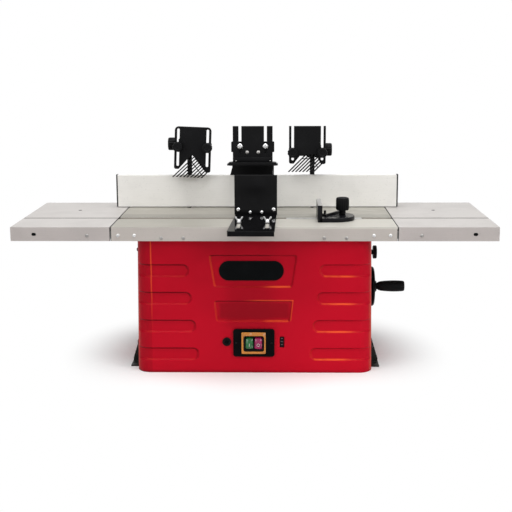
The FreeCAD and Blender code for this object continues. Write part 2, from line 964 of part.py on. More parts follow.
def table_insert_ring():
    """The ring that closes the spindle opening down to the cutter's size."""
    bottom = table_height - ring_thickness
    ring = rod_z((bottom, table_height - track_fit), spindle_x, spindle_y, ring_radius)
    return ring.cut(rod_z((bottom - overrun, table_height + overrun), spindle_x, spindle_y,
                          ring_bore_radius))


# Badge, switch and controls on the front

def badge_plate():
    """The bare stadium plate on the floor of the upper panel."""
    outline = rounded_prism_y((badge_x - badge_length / 2, badge_x + badge_length / 2),
                              (badge_z - badge_height / 2, badge_z + badge_height / 2), badge_height / 2,
                              (-far_y, 0))
    layer = body_form(press_depth - badge_thickness, full_height).cut(body_form(press_depth, full_height))
    return outline.common(layer)


switch_face = front_wall_y(switch_z - switch_plate_height / 2) - switch_plate_thickness
frame_face = switch_face - switch_frame_thickness
bezel_face = switch_face + button_gap
button_x_offset = button_spacing / 2


def switch_opening(y_range):
    """The opening through the switch plate that the switch box fills."""
    return block((switch_x - switch_box_width / 2, switch_x + switch_box_width / 2), y_range,
                 (switch_z - switch_box_height / 2, switch_z + switch_box_height / 2))


def switch_plate():
    """The black plate round the switch, lying on the front wall."""
    plate = rounded_prism_y((switch_x - switch_plate_width / 2, switch_x + switch_plate_width / 2),
                            (switch_z - switch_plate_height / 2, switch_z + switch_plate_height / 2),
                            switch_plate_radius, (switch_face, -body_depth_top / 2))
    return plate.cut([outer_form_long, switch_opening((-far_y, 0))])


def switch_frame():
    """The amber frame on the switch plate."""
    frame = block((switch_x - switch_frame_width / 2, switch_x + switch_frame_width / 2),
                  (frame_face, switch_face),
                  (switch_z - switch_frame_height / 2, switch_z + switch_frame_height / 2))
    window = block((switch_x - frame_window_width / 2, switch_x + frame_window_width / 2),
                   (frame_face - overrun, switch_face + overrun),
                   (switch_z - frame_window_height / 2, switch_z + frame_window_height / 2))
    return frame.cut(window)


def button_space(side, gap):
    """The block that one push button fills, widened by a gap."""
    x = switch_x + side * button_x_offset
    return ((x - button_width / 2 - gap, x + button_width / 2 + gap),
            (switch_z - button_height / 2 - gap, switch_z + button_height / 2 + gap))


def push_button(side):
    """A start or stop button."""
    x_range, z_range = button_space(side, 0)
    front = bezel_face - button_proud
    return block(x_range, (front, front + button_depth), z_range)


def switch_box():
    """The switch's body, with a pocket for each button."""
    body = switch_opening((bezel_face, bezel_face + switch_box_depth))
    pockets = []
    for side in (-1, 1):
        x_range, z_range = button_space(side, button_gap)
        depth = button_depth - button_proud + button_travel + button_gap
        pockets.append(block(x_range, (bezel_face - overrun, bezel_face + depth), z_range))
    return body.cut(pockets)


reset_face = front_wall_y(reset_z) - reset_flange_thickness


def reset_breaker():
    """The overload breaker: flange outside, barrel through the wall, body inside."""
    wall = front_wall_y(reset_z)
    inside = wall + body_wall + overrun
    flange = rod_y((reset_face, wall + body_wall), reset_x, reset_z,
                   reset_flange_radius).cut(outer_form_long)
    barrel = rod_y((reset_face, inside), reset_x, reset_z, reset_barrel_radius)
    half = reset_body_size / 2
    body = block((reset_x - half, reset_x + half), (inside, inside + reset_body_depth),
                 (reset_z - half, reset_z + half))
    depth = reset_button_length - reset_button_proud + button_travel
    bore = rod_y((reset_face - overrun, reset_face + depth), reset_x, reset_z, reset_bore_radius)
    return joined([flange, barrel, body]).cut(bore)


def reset_button():
    """The overload reset button."""
    front = reset_face - reset_button_proud
    return rod_y((front, front + reset_button_length), reset_x, reset_z, reset_button_radius)


dial_axis_y = front_wall_y(dial_z) - dial_proud + dial_radius


def speed_dial():
    """The speed thumbwheel on its axle."""
    wheel = rod_x((dial_x - dial_width / 2, dial_x + dial_width / 2), dial_axis_y, dial_z, dial_radius)
    reach = dial_width / 2 + dial_cheek
    axle = rod_x((dial_x - reach, dial_x + reach), dial_axis_y, dial_z, dial_axle_radius)
    return joined([wheel, axle])


def speed_control():
    """The speed control's housing, a fork that carries the thumbwheel, on the front wall's inside."""
    outer = dial_width / 2 + plate_gap + dial_cheek
    front = front_wall_y(dial_z) + panel_depth
    z_range = (dial_z - dial_box_height / 2, dial_z + dial_box_height / 2)
    housing = block((dial_x - outer, dial_x + outer), (-far_y, front + dial_box_depth), z_range)
    housing = housing.common(body_form(body_wall, full_height))
    slot_half = dial_width / 2 + plate_gap
    slot_depth = dial_axis_y + dial_radius + overrun
    slot = block((dial_x - slot_half, dial_x + slot_half), (-far_y, slot_depth),
                 (z_range[0] - overrun, z_range[1] + overrun))
    bore = rod_x((dial_x - far_x, dial_x + far_x), dial_axis_y, dial_z, dial_axle_radius + running_fit)
    return housing.cut([slot, bore])


def cable_gland():
    """The gland for the mains lead in the rear wall, with a blind hole."""
    wall = half_depth(gland_z)
    barrel = rod_y((wall - gland_inner_length, wall + gland_head), gland_x, gland_z, gland_radius)
    flange = rod_y((wall - body_wall, wall + gland_flange), gland_x, gland_z,
                   gland_flange_radius).cut(outer_form_long)
    hole = rod_y((wall, wall + gland_head + overrun), gland_x, gland_z, gland_hole_radius)
    return joined([barrel, flange]).cut(hole)


# Lift: rods, carriage, lead screw, gears and crank

base_top = body_wall + base_thickness
stand_top = crank_z - stand_top_drop


def guide_rods():
    """Two upright rods from the base plate to the underside of the table."""
    return [rod_z((base_top, table_under), side * rod_x_offset, spindle_y, rod_radius) for side in (-1, 1)]


def motor_carriage():
    """The casting that clamps the motor and slides on the guide rods."""
    top = carriage_bottom + carriage_height
    z_range = (carriage_bottom, top)
    parts = [rod_z(z_range, spindle_x, spindle_y, motor_radius + carriage_ring_wall)]
    for side in (-1, 1):
        parts.append(rod_z(z_range, side * rod_x_offset, spindle_y, rod_boss_radius))
        parts.append(block((0, side * rod_x_offset), (spindle_y - carriage_web / 2,
                                                      spindle_y + carriage_web / 2),
                           z_range))
    pad_end = rod_x_offset + rod_boss_radius + lock_pad
    parts.append(block((rod_x_offset, pad_end), (spindle_y - carriage_web / 2,
                                                 spindle_y + carriage_web / 2), z_range))
    arm_range = (nut_arm_bottom, nut_arm_bottom + nut_arm_height)
    parts.append(block((-nut_arm_width / 2, nut_arm_width / 2), (screw_y, spindle_y), arm_range))
    parts.append(rod_z(arm_range, 0, screw_y, nut_arm_width / 2))
    carriage = joined(parts)
    through = (carriage_bottom - overrun, top + overrun)
    cuts = [rod_z(through, spindle_x, spindle_y, motor_radius)]
    for side in (-1, 1):
        cuts.append(rod_z(through, side * rod_x_offset, spindle_y, rod_radius + running_fit))
    cuts.append(rod_z(through, 0, screw_y, screw_radius + running_fit))
    return carriage.cut(cuts)


def bevel_gear(bore_radius, turned_by):
    """A mitre gear about Z with its pitch cone's apex at the origin."""
    back = gear_pitch_radius
    front_share = 1 - gear_face_share
    root = gear_pitch_radius - gear_dedendum
    tip = gear_pitch_radius + gear_addendum
    front = back * front_share
    blank = turned_z(((front, bore_radius), (front, root * front_share), (back, root),
                      (back, gear_hub_radius),
                      (back + gear_hub_length, gear_hub_radius), (back + gear_hub_length, bore_radius)),
                      0, 0)
    pitch_angle = full_turn / gear_teeth
    foot_half = math.radians(pitch_angle * (gear_tooth_share + gear_tip_share) / 2)
    tip_half = math.radians(pitch_angle * gear_tip_share / 2)
    wires = []
    for share in (front_share, 1):
        corners = []
        for radius, angle in ((root - gear_dedendum, -foot_half), (tip, -tip_half), (tip, tip_half),
                              (root - gear_dedendum, foot_half)):
            corners.append(V(radius * share * math.cos(angle), radius * share * math.sin(angle),
                             back * share))
        wires.append(Part.makePolygon(corners + corners[:1]))
    tooth = Part.makeLoft(wires, True, True)
    teeth = []
    for number in range(gear_teeth):
        copy = tooth.copy()
        copy.rotate(V(0, 0, 0), AXIS_Z, (number + turned_by) * pitch_angle)
        teeth.append(copy)
    return joined([blank] + teeth)


def screw_bevel_gear():
    """The gear on the lead screw's lower end."""
    gear = bevel_gear(screw_shank_radius, gear_mesh_share)
    gear.translate(V(0, screw_y, crank_z))
    return gear


def crank_bevel_gear():
    """The gear on the crank shaft's inner end."""
    gear = bevel_gear(shaft_radius, 0)
    gear.rotate(V(0, 0, 0), AXIS_Y, full_turn / 4)
    gear.translate(V(0, screw_y, crank_z))
    return gear


gear_top = crank_z + gear_pitch_radius + gear_hub_length


def lead_screw():
    """The lift's screw: pivot and shank below, threaded length above."""
    top = table_under - plate_gap
    profile = ((stand_top - pivot_depth + plate_gap, 0), (stand_top - pivot_depth + plate_gap,
                                                          screw_shank_radius),
               (stand_top + plate_gap, screw_shank_radius), (stand_top + plate_gap, screw_collar_radius),
               (stand_top + plate_gap + screw_collar_height, screw_collar_radius),
               (stand_top + plate_gap + screw_collar_height, screw_shank_radius),
               (gear_top, screw_shank_radius),
               (gear_top, screw_radius), (top, screw_radius), (top, 0))
    return turned_z(profile, 0, screw_y)


def gear_stand():
    """The stand on the base plate that carries the screw's pivot and the shaft's inner end."""
    y_range = (screw_y - stand_half_depth, screw_y + stand_half_depth)
    foot = block((stand_left, stand_right), y_range, (base_top, stand_top))
    ear = block((stand_right - stand_ear_width, stand_right), y_range, (base_top, crank_z + stand_ear_rise))
    stand = joined([foot, ear])
    pivot = rod_z((stand_top - pivot_depth, stand_top + overrun), 0, screw_y,
                  screw_shank_radius + running_fit)
    bore = rod_x((stand_right - stand_ear_width - overrun, stand_right + overrun), screw_y, crank_z,
                 shaft_radius + running_fit)
    return stand.cut([pivot, bore])


def wall_bush(y, z, bore_radius):
    """A flanged bush in the right side wall."""
    wall = half_width(z)
    tube = rod_x((wall - bush_inner_length, wall + bush_flange), y, z, bush_tube_radius)
    flange = rod_x((wall - body_wall, wall + bush_flange), y, z, bush_flange_radius).cut(outer_form_long)
    bore = rod_x((wall - bush_inner_length - overrun, wall + bush_flange + overrun), y, z, bore_radius)
    return joined([tube, flange]).cut(bore)


def shaft_bushes():
    """The bushes of the crank shaft, the lock rod and the lead screw's top."""
    top = rod_z((table_under - top_bush_length, table_under), 0, screw_y, top_bush_radius)
    top = top.cut(rod_z((table_under - top_bush_length - overrun, table_under + overrun), 0, screw_y,
                        screw_radius + running_fit))
    return [wall_bush(screw_y, crank_z, shaft_radius + running_fit),
            wall_bush(spindle_y, lock_z, lock_rod_radius + running_fit), top]


wheel_inner_face = half_width(crank_z) + wheel_stand_off
wheel_hub_end = wheel_inner_face + wheel_hub_length


def crank_shaft():
    """The shaft from the bevel gear out to the handwheel's hub."""
    return rod_x((shaft_inner_end, wheel_hub_end), screw_y, crank_z, shaft_radius)


grip_y = screw_y - grip_arm * math.cos(math.radians(grip_rise_angle))
grip_z = crank_z + grip_arm * math.sin(math.radians(grip_rise_angle))
web_face = wheel_inner_face + wheel_dish
grip_start = web_face + wheel_web + grip_stand_off


def handwheel():
    """The dished handwheel, and the bolt that its grip turns on."""
    rim_centre = wheel_radius - wheel_rim_radius
    rim = Part.makeTorus(rim_centre, wheel_rim_radius, V(wheel_inner_face + wheel_rim_radius, screw_y,
                                                         crank_z), AXIS_X)
    dish = turned_x(((web_face, shaft_radius), (web_face, grip_arm),
                     (wheel_inner_face + wheel_dish / 2, rim_centre),
                     (wheel_inner_face + wheel_dish / 2 + wheel_web, rim_centre),
                     (web_face + wheel_web, grip_arm),
                     (web_face + wheel_web, shaft_radius)), screw_y, crank_z)
    hub = turned_x(((wheel_inner_face, shaft_radius), (wheel_inner_face, wheel_hub_radius),
                    (wheel_hub_end, wheel_hub_radius), (wheel_hub_end, shaft_radius)), screw_y, crank_z)
    wheel = joined([rim, dish, hub])
    bolt_end = grip_start + grip_length
    bolt = rod_x((web_face, bolt_end), grip_y, grip_z, grip_bolt_radius)
    wheel = wheel.cut(rod_x((web_face - overrun, grip_start), grip_y, grip_z, grip_bolt_radius))
    head = rod_x((bolt_end - grip_bolt_head / 2, bolt_end), grip_y, grip_z, grip_bolt_head)
    return [wheel, joined([bolt, head])]


def crank_grip():
    """The tapered grip, free to turn on its bolt."""
    end = grip_start + grip_length
    neck = grip_start + grip_length * grip_neck_share
    shoulder = grip_start + grip_length * grip_shoulder_share
    thick = grip_start + grip_length * grip_thick_share
    nose = grip_start + grip_length * grip_nose_share
    nose_radius_here = grip_radius * grip_nose_share
    profile = ((grip_start, grip_bore_radius), (grip_start, grip_neck_radius), (neck, grip_neck_radius),
               (shoulder, grip_radius * grip_shoulder_radius_share), (thick, grip_radius),
               (nose, nose_radius_here), (end, grip_end_radius), (end, grip_bore_radius))
    grip = turned_x(profile, grip_y, grip_z)
    seat = rod_x((end - grip_bolt_head / 2 - plate_gap, end + overrun), grip_y, grip_z,
                 grip_bolt_head + loose_fit)
    return grip.cut(seat)


def lock_knob():
    """The lock knob with its rod, whose end bears on the carriage."""
    pad_end = rod_x_offset + rod_boss_radius + lock_pad
    stem_start = half_width(lock_z) + bush_flange + plate_gap
    lock_knob_face = half_width(lock_z) + lock_stand_off
    end = lock_knob_face + lock_knob_thickness
    profile = ((pad_end + plate_gap, 0), (pad_end + plate_gap, lock_rod_radius),
               (stem_start, lock_rod_radius),
               (stem_start, lock_stem_radius), (lock_knob_face, lock_stem_radius),
               (lock_knob_face, lock_knob_radius),
               (end, lock_knob_radius), (end, 0))
    return turned_x(profile, spindle_y, lock_z)


# Motor and spindle

motor_top = motor_bottom + motor_length
nose_top = motor_top + nose_length


def motor_housing():
    """The motor's can with its two bearing seats."""
    inner = motor_radius - motor_wall
    profile = ((motor_bottom, lower_bearing_radius), (motor_bottom, motor_radius),
               (motor_top, motor_radius),
               (motor_top, upper_bearing_radius), (motor_top - motor_end_thickness, upper_bearing_radius),
               (motor_top - motor_end_thickness, inner), (motor_bottom + motor_end_thickness, inner),
               (motor_bottom + motor_end_thickness, lower_bearing_radius))
    return turned_z(profile, spindle_x, spindle_y)


def spindle_bearings():
    """The two ball bearings, as rings."""
    upper = rod_z((motor_top - bearing_height, motor_top), spindle_x, spindle_y, upper_bearing_radius)
    upper = upper.cut(rod_z((motor_bottom, motor_top + overrun), spindle_x, spindle_y,
                            shaft_upper_radius + running_fit))
    lower = rod_z((motor_bottom, motor_bottom + bearing_height), spindle_x, spindle_y, lower_bearing_radius)
    lower = lower.cut(rod_z((0, motor_top), spindle_x, spindle_y, shaft_lower_radius + running_fit))
    return [upper, lower]


def armature():
    """The motor's shaft with the spindle nose, its core, commutator and fan."""
    core_top = core_bottom + core_length
    step = motor_bottom + bearing_height + plate_gap
    top_step = motor_top - bearing_height - plate_gap
    nose_start = motor_top + plate_gap
    bottom = motor_bottom - plate_gap
    profile = ((bottom, 0), (bottom, shaft_lower_radius), (step, shaft_lower_radius),
               (step, shaft_core_radius),
               (core_top + commutator_gap + commutator_length, shaft_core_radius),
               (core_top + commutator_gap + commutator_length, shaft_upper_radius),
               (nose_start, shaft_upper_radius), (nose_start, nose_radius), (nose_top, nose_radius),
               (nose_top, collet_radius), (collet_bottom, collet_radius), (collet_bottom, 0))
    shaft = turned_z(profile, spindle_x, spindle_y)
    rings = []
    for low, high, radius in ((core_bottom, core_top, core_radius),
                              (core_top + commutator_gap, core_top + commutator_gap + commutator_length,
                               commutator_radius),
                              (fan_bottom, fan_bottom + fan_thickness, fan_radius)):
        ring = rod_z((low, high), spindle_x, spindle_y, radius)
        rings.append(ring.cut(rod_z((low - overrun, high + overrun), spindle_x, spindle_y,
                                    shaft_core_radius)))
    return [shaft] + rings


def collet():
    """The collet in the spindle nose."""
    z_range = (collet_bottom, collet_bottom + collet_length)
    sleeve = rod_z(z_range, spindle_x, spindle_y, collet_radius)
    bore = rod_z((collet_bottom - overrun, collet_bottom + collet_length + overrun), spindle_x, spindle_y,
                 collet_bore_radius)
    return sleeve.cut(bore)


def collet_nut():
    """The six-sided nut that closes the collet."""
    top = nut_bottom + nut_height
    corners = []
    for number in range(nut_sides):
        angle = math.radians(full_turn * number / nut_sides)
        corners.append(V(spindle_x + nut_radius * math.cos(angle), spindle_y + nut_radius * math.sin(angle),
                         nut_bottom))
    nut = Part.Face(Part.makePolygon(corners + corners[:1])).extrude(V(0, 0, nut_height))
    wide = rod_z((nut_bottom - overrun, nose_top), spindle_x, spindle_y, nose_radius)
    middle = rod_z((nose_top, top - nut_lip + plate_gap), spindle_x, spindle_y, collet_radius + loose_fit)
    mouth = rod_z((nut_bottom, top + overrun), spindle_x, spindle_y, nut_mouth_radius)
    return nut.cut([wide, middle, mouth])


# Fence

fence_bottom = table_height + fence_lift
face_bottom = table_height + face_bottom_gap
face_back = fence_face_y + face_thickness
bracket_front = face_back + plate_gap
bracket_back = bracket_front + bracket_thickness


def fence_face(outer, inner):
    """One sliding fence face with a clamping groove in its back and a thin cap on its outer end."""
    side = 1 if outer > inner else -1
    y_range = (fence_face_y, face_back)
    face = block((outer - side * end_cap, inner), y_range, (face_bottom, face_bottom + face_height))
    middle = face_bottom + face_height / 2
    groove = block((outer + side * overrun, inner - side * overrun),
                   (face_back - face_groove_depth, face_back + overrun),
                   (middle - face_groove_height / 2, middle + face_groove_height / 2))
    cap = block((outer - side * end_cap, outer), y_range,
                (face_bottom, face_bottom + face_height + end_cap_rise))
    return [face.cut(groove), cap]


def fence_bracket(post_x, hood_edge):
    """One side of the fence frame: back plate behind the face, and a foot on the table."""
    side = -1 if post_x < hood_edge else 1
    plate = block((post_x + side * bracket_outer, hood_edge), (bracket_front, bracket_back),
                  (fence_bottom, fence_bottom + bracket_height))
    half = bracket_foot_width / 2
    foot = block((post_x - half, post_x + half), (bracket_front, bracket_back + bracket_foot_depth),
                 (fence_bottom, fence_bottom + bracket_foot_height))
    bolt_y = bracket_back + clamp_offset
    hole = rod_z((fence_bottom - overrun, fence_bottom + bracket_foot_height + overrun), post_x, bolt_y,
                 clamp_stud_radius + running_fit)
    return joined([plate, foot]).cut(hole)


def fence_knob(post_x):
    """A clamp knob with its stud through the fence's foot and the table's slot, and the nut below."""
    bolt_y = bracket_back + clamp_offset
    knob_bottom = fence_bottom + bracket_foot_height + plate_gap
    nut_top = table_under - plate_gap
    profile = ((nut_top - clamp_nut_height, 0), (nut_top - clamp_nut_height, clamp_nut_radius),
               (nut_top, clamp_nut_radius), (nut_top, clamp_stud_radius), (knob_bottom, clamp_stud_radius),
               (knob_bottom, clamp_knob_radius), (knob_bottom + clamp_knob_height, clamp_knob_radius),
               (knob_bottom + clamp_knob_height, 0))
    return turned_z(profile, post_x, bolt_y)


def cutter_hood():
    """The hood behind the fence gap, ending in the extraction port."""
    x_range = (hood_left, hood_right)
    hood = block(x_range, (bracket_front, hood_back_y), (fence_bottom, hood_top))
    inside = block((hood_left + hood_wall, hood_right - hood_wall),
                   (bracket_front - overrun, hood_back_y + overrun),
                   (fence_bottom - overrun, hood_top - hood_wall))
    x = (hood_left + hood_right) / 2
    flange_back = hood_back_y + port_flange_thickness
    flange = block((x - port_flange, x + port_flange), (hood_back_y, flange_back),
                   (port_z - port_flange, port_z + port_flange))
    port = rod_y((hood_back_y, flange_back + port_length), x, port_z, port_radius)
    duct = rod_y((hood_back_y - overrun, flange_back + port_length + overrun), x, port_z,
                 port_radius - port_wall)
    mouth = duct.common(block((-far_x, far_x), (hood_back_y - overrun, far_y + table_depth),
                              (0, table_height * 2)))
    return joined([hood.cut(inside), joined([flange, port]).cut(mouth)])


post_front = bracket_back + plate_gap


def comb_post(post_x):
    """The upright square post of a comb unit, standing on the fence's foot behind the plate."""
    return block((post_x - post_size / 2, post_x + post_size / 2), (post_front, post_front + post_size),
                 (fence_bottom + bracket_foot_height, post_top))


# Feather combs

comb_back_y = comb_front_y + comb_thickness


def comb_plate(x, top, corners, apex_xs, apex, slot_bottom, slot_top, closed):
    """The comb's plate: a wide notch in its foot, and two long slots for the clamp knobs."""
    left = x - comb_width / 2
    right = x + comb_width / 2
    left_corner, right_corner = corners
    points = ((left, left_corner), (left + comb_foot, left_corner), (apex_xs[0], apex), (apex_xs[1], apex),
              (right - comb_foot, right_corner), (right, right_corner), (right, top), (left, top))
    plate = plate_y(points, (comb_front_y, comb_back_y))
    if closed:
        upper = [edge for edge in plate.Edges
                 if min(vertex.Z for vertex in edge.Vertexes) > top - overrun / 4
                 and abs(edge.tangentAt(edge.FirstParameter).y) > flat_share]
        plate = plate.makeFillet(comb_corner_radius, upper)
    slots = []
    for side in (-1, 1):
        slot_x = x + side * comb_slot_spacing / 2
        slots.append(rounded_prism_y((slot_x - comb_slot_width / 2, slot_x + comb_slot_width / 2),
                                     (slot_bottom, slot_top), comb_slot_width / 2,
                                     (comb_front_y - overrun, comb_back_y + overrun)))
    return plate.cut(slots)


def finger_reach(x, tip, apex_xs, apex, inner, right_corner):
    """How far a finger runs up and to the right from its tip before it meets the plate."""
    reach = apex - tip
    if x + reach > apex_xs[1]:
        slope = (apex - right_corner) / (inner - apex_xs[1])
        reach = (apex + slope * (apex_xs[1] - x) - tip) / (1 + slope)
    if x + reach > inner:
        reach = right_corner - tip
    return reach


def comb_fingers(start, tip, apex_xs, apex, right, right_corner):
    """Slanting fingers from the tip line up to the upper and right-hand edges of the plate's notch."""
    across = finger_width * math.sqrt(2)
    fingers = []
    for number in range(finger_count):
        x = start + number * finger_pitch
        reach = finger_reach(x, tip, apex_xs, apex, right - comb_foot, right_corner)
        if x + reach > right - across:
            break
        reach += overrun
        points = ((x, tip), (x + across, tip), (x + across + reach, tip + reach), (x + reach, tip + reach))
        fingers.append(plate_y(points, (comb_front_y, comb_back_y)))
    return fingers


def feather_comb(x, top, corners, apex_xs, apex, tip, start, slot_bottom, slot_top, closed):
    """A feather comb: plate and fingers in one moulding."""
    right = x + comb_width / 2
    plate = comb_plate(x, top, corners, apex_xs, apex, slot_bottom, slot_top, closed)
    fingers = comb_fingers(start, tip, apex_xs, apex, right, corners[1])
    blank = block((x - comb_width, right), (comb_front_y - overrun, comb_back_y + overrun), (tip, top))
    fingers = [finger.common(blank) for finger in fingers]
    return joined([plate] + fingers)


def left_comb():
    """The left comb, with closed slots and rounded top corners."""
    return feather_comb(left_comb_x, left_comb_top, (left_comb_left_corner, left_comb_right_corner),
                        (left_comb_apex_left, left_comb_apex_right), left_comb_apex, left_comb_tip,
                        left_finger_start, left_slot_bottom, left_slot_top, True)


def right_comb():
    """The right comb, whose slots are open at its straight top."""
    return feather_comb(right_comb_x, right_comb_top, (right_comb_left_corner, right_comb_right_corner),
                        (right_comb_apex_left, right_comb_apex_right), right_comb_apex, right_comb_tip,
                        right_finger_start, right_slot_bottom, right_comb_top + comb_slot_width, False)


holder_front = comb_back_y + plate_gap
holder_bar_back = holder_front + holder_bar_depth
holder_block_back = post_front + post_size + holder_block_half


def comb_holder(x, post_x, knob_z, block_z, side):
    """The holder on a post: cross bar behind the comb, block round the post, and the two front knobs."""
    reach = comb_slot_spacing / 2 + holder_bar_end
    bar = block((x - reach, x + reach), (holder_front, holder_bar_back),
                (knob_z - holder_bar_height / 2, knob_z + holder_bar_height / 2))
    outer = x + side * (comb_width / 2 - post_knob_inset)
    body = block((post_x - side * holder_block_half, outer), (holder_front, holder_block_back),
                 (block_z - holder_block_height / 2, block_z + holder_block_height / 2))
    holder = joined([bar, body])
    half = post_size / 2 + plate_gap
    hole = block((post_x - half, post_x + half), (post_front - plate_gap,
                                                  post_front + post_size + plate_gap),
                 (0, post_top + table_height))
    stud_y = post_front + post_size / 2
    stud_hole = rod_x((post_x, outer + side * overrun), stud_y, block_z,
                      post_knob_stud_radius + running_fit)
    studs = [rod_y((holder_front, holder_bar_back), x + end * comb_slot_spacing / 2, knob_z,
                   comb_stud_radius)
             for end in (-1, 1)]
    holder = holder.cut([hole, stud_hole] + studs)
    knobs = []
    for end in (-1, 1):
        front = comb_front_y - plate_gap - comb_knob_length
        profile = ((front, 0), (front, comb_knob_radius), (comb_front_y - plate_gap, comb_knob_radius),
                   (comb_front_y - plate_gap, comb_stud_radius), (holder_bar_back, comb_stud_radius),
                   (holder_bar_back, 0))
        knobs.append(turned_y(profile, x + end * comb_slot_spacing / 2, knob_z))
    return [holder] + knobs


def post_knob(x, post_x, block_z, side):
    """The knob on the holder's outer side whose stud bears on the post."""
    outer = x + side * (comb_width / 2 - post_knob_inset)
    inner = post_x + side * (post_size / 2 + plate_gap)
    face = outer + side * post_knob_inset
    end = face + side * post_knob_length
    profile = ((inner, 0), (inner, post_knob_stud_radius), (face, post_knob_stud_radius),
               (face, post_knob_radius),
               (end, post_knob_radius), (end, 0))
    return turned_x(profile, post_front + post_size / 2, block_z)


# Centre pressure unit

pressure_back = fence_face_y - plate_gap
pressure_front = pressure_back - pressure_plate_thickness
bracket_plane = pressure_back + plate_gap


def centre_bracket():
    """The bracket on the hood's top that guides the slotted plate."""
    half = pressure_plate_width / 2
    y_range = (bracket_plane, bracket_plane + centre_bracket_sheet)
    upright = block((pressure_x - half, pressure_x + half), y_range, (hood_top, bracket_ear_top))
    ears = block((pressure_x - bracket_ear_width / 2, pressure_x + bracket_ear_width / 2), y_range,
                 (bracket_ear_bottom, bracket_ear_top))
    foot = block((pressure_x - half, pressure_x + half), (bracket_plane,
                                                          bracket_plane + centre_bracket_reach),
                 (hood_top, hood_top + centre_bracket_sheet))
    return joined([upright, ears, foot]).cut(pressure_shanks())


def pressure_shanks():
    """The shanks of the two bolts that clamp the slotted plate."""
    return [rod_y((pressure_front - plate_gap, bracket_plane + centre_bracket_sheet),
                  pressure_x + side * pressure_slot_spacing / 2, pressure_bolt_z, pressure_bolt_radius)
            for side in (-1, 1)]


def pressure_bolts():
    """The two bolts through the slotted plate."""
    bolts = []
    for side, shank in zip((-1, 1), pressure_shanks()):
        face = pressure_front - plate_gap
        head = rod_y((face - pressure_bolt_head, face), pressure_x + side * pressure_slot_spacing / 2,
                     pressure_bolt_z, pressure_bolt_head_radius)
        bolts.append(joined([head, shank]))
    return bolts


def slotted_plate():
    """The plate that slides up and down in front of the bracket, with slots open at the top."""
    half = pressure_plate_width / 2
    plate = block((pressure_x - half, pressure_x + half), (pressure_front, pressure_back),
                  (pressure_plate_bottom, pressure_plate_top))
    slots = []
    for side in (-1, 1):
        x = pressure_x + side * pressure_slot_spacing / 2
        slots.append(rounded_prism_y((x - pressure_slot_width / 2, x + pressure_slot_width / 2),
                                     (pressure_slot_bottom, pressure_plate_top + pressure_slot_width),
                                     pressure_slot_width / 2,
                                     (pressure_front - overrun, pressure_back + overrun)))
    return plate.cut(slots)


def pressure_shoe():
    """The shoe that holds the work down, an angle fixed to the slotted plate's foot."""
    half = shoe_width / 2
    sole = block((pressure_x - half, pressure_x + half), (shoe_front_y, pressure_front),
                 (pressure_plate_bottom, pressure_plate_bottom + shoe_sheet))
    inner = pressure_plate_width / 2
    flange = block((pressure_x - inner, pressure_x + inner), (pressure_front - shoe_sheet, pressure_front),
                   (pressure_plate_bottom, pressure_plate_bottom + shoe_flange_height))
    return joined([sole, flange])


# Front guard

guard_bottom = table_height + guard_lift
guard_top = guard_bottom + guard_sheet


def guard_bolt_places():
    """X and Z of the four bolts of the guard plate."""
    places = []
    for side in (-1, 1):
        places.append((guard_x + side * guard_outer_bolt_x, table_height + guard_outer_bolt_rise))
        places.append((guard_x + side * guard_inner_bolt_x, table_height + guard_inner_bolt_rise))
    return places


def guard_shanks():
    """The shanks of the guard plate's bolts."""
    return [rod_y((guard_plate_y - guard_sheet, guard_plate_y + guard_sheet), x, z, guard_bolt_radius)
            for x, z in guard_bolt_places()]


def guard_foot():
    """The guard's foot: a plate on the table, a lip at its front and a flange at its rear."""
    half = guard_foot_width / 2
    x_range = (guard_foot_x - half, guard_foot_x + half)
    plate = block(x_range, (guard_foot_front, guard_plate_y + guard_sheet), (guard_bottom, guard_top))
    lip = block(x_range, (guard_foot_front, guard_foot_front + guard_sheet),
                (guard_top - guard_lip, guard_top))
    flange = block(x_range, (guard_plate_y, guard_plate_y + guard_sheet),
                   (guard_bottom, guard_top + guard_flange_height))
    slots = []
    for x in (wing_left_x, wing_right_x):
        slots.append(rounded_prism_z((guard_x + x - wing_slot_width / 2, guard_x + x + wing_slot_width / 2),
                                     (wing_slot_front, wing_slot_rear), wing_slot_width / 2,
                                     (guard_bottom - overrun, guard_top + overrun)))
    return joined([plate, lip, flange]).cut(slots + guard_shanks())


def guard_plate():
    """The upright plate in front of the cutter."""
    half = guard_plate_width / 2
    plate = block((guard_x - half, guard_x + half), (guard_plate_y - guard_sheet, guard_plate_y),
                  (guard_top, guard_plate_top))
    return plate.cut(guard_shanks())


def guard_bolts():
    """The four bolts that hold the guard plate to its foot."""
    bolts = []
    face = guard_plate_y - guard_sheet
    for (x, z), shank in zip(guard_bolt_places(), guard_shanks()):
        head = rod_y((face - guard_bolt_head, face), x, z, guard_bolt_head_radius)
        bolts.append(joined([head, shank]))
    return bolts


def wing_bolt(offset):
    """A wing bolt: stud through the guard's slot into the table, hub and two raised wings."""
    x = guard_x + offset
    low = guard_top + plate_gap
    top = low + wing_hub_height
    hub = turned_z(((table_under, 0), (table_under, wing_stud_radius), (low, wing_stud_radius),
                    (low, wing_hub_radius),
                    (top, wing_hub_radius - wing_sheet / 2), (top, 0)), x, wing_y)
    y_range = (wing_y - wing_sheet / 2, wing_y + wing_sheet / 2)
    wings = []
    for side in (-1, 1):
        points = ((x, low + wing_rise), (x + side * wing_span / 2, low + wing_rise),
                  (x + side * wing_span, low + wing_height - wing_rise),
                  (x + side * wing_span, low + wing_height),
                  (x + side * wing_span * 2 / 3, low + wing_height), (x, top - wing_rise / 2))
        wings.append(plate_y(points, y_range))
    return joined([hub] + wings)


# Mitre gauge

mitre_bottom = table_height + mitre_lift
mitre_base_top = mitre_bottom + mitre_base_height


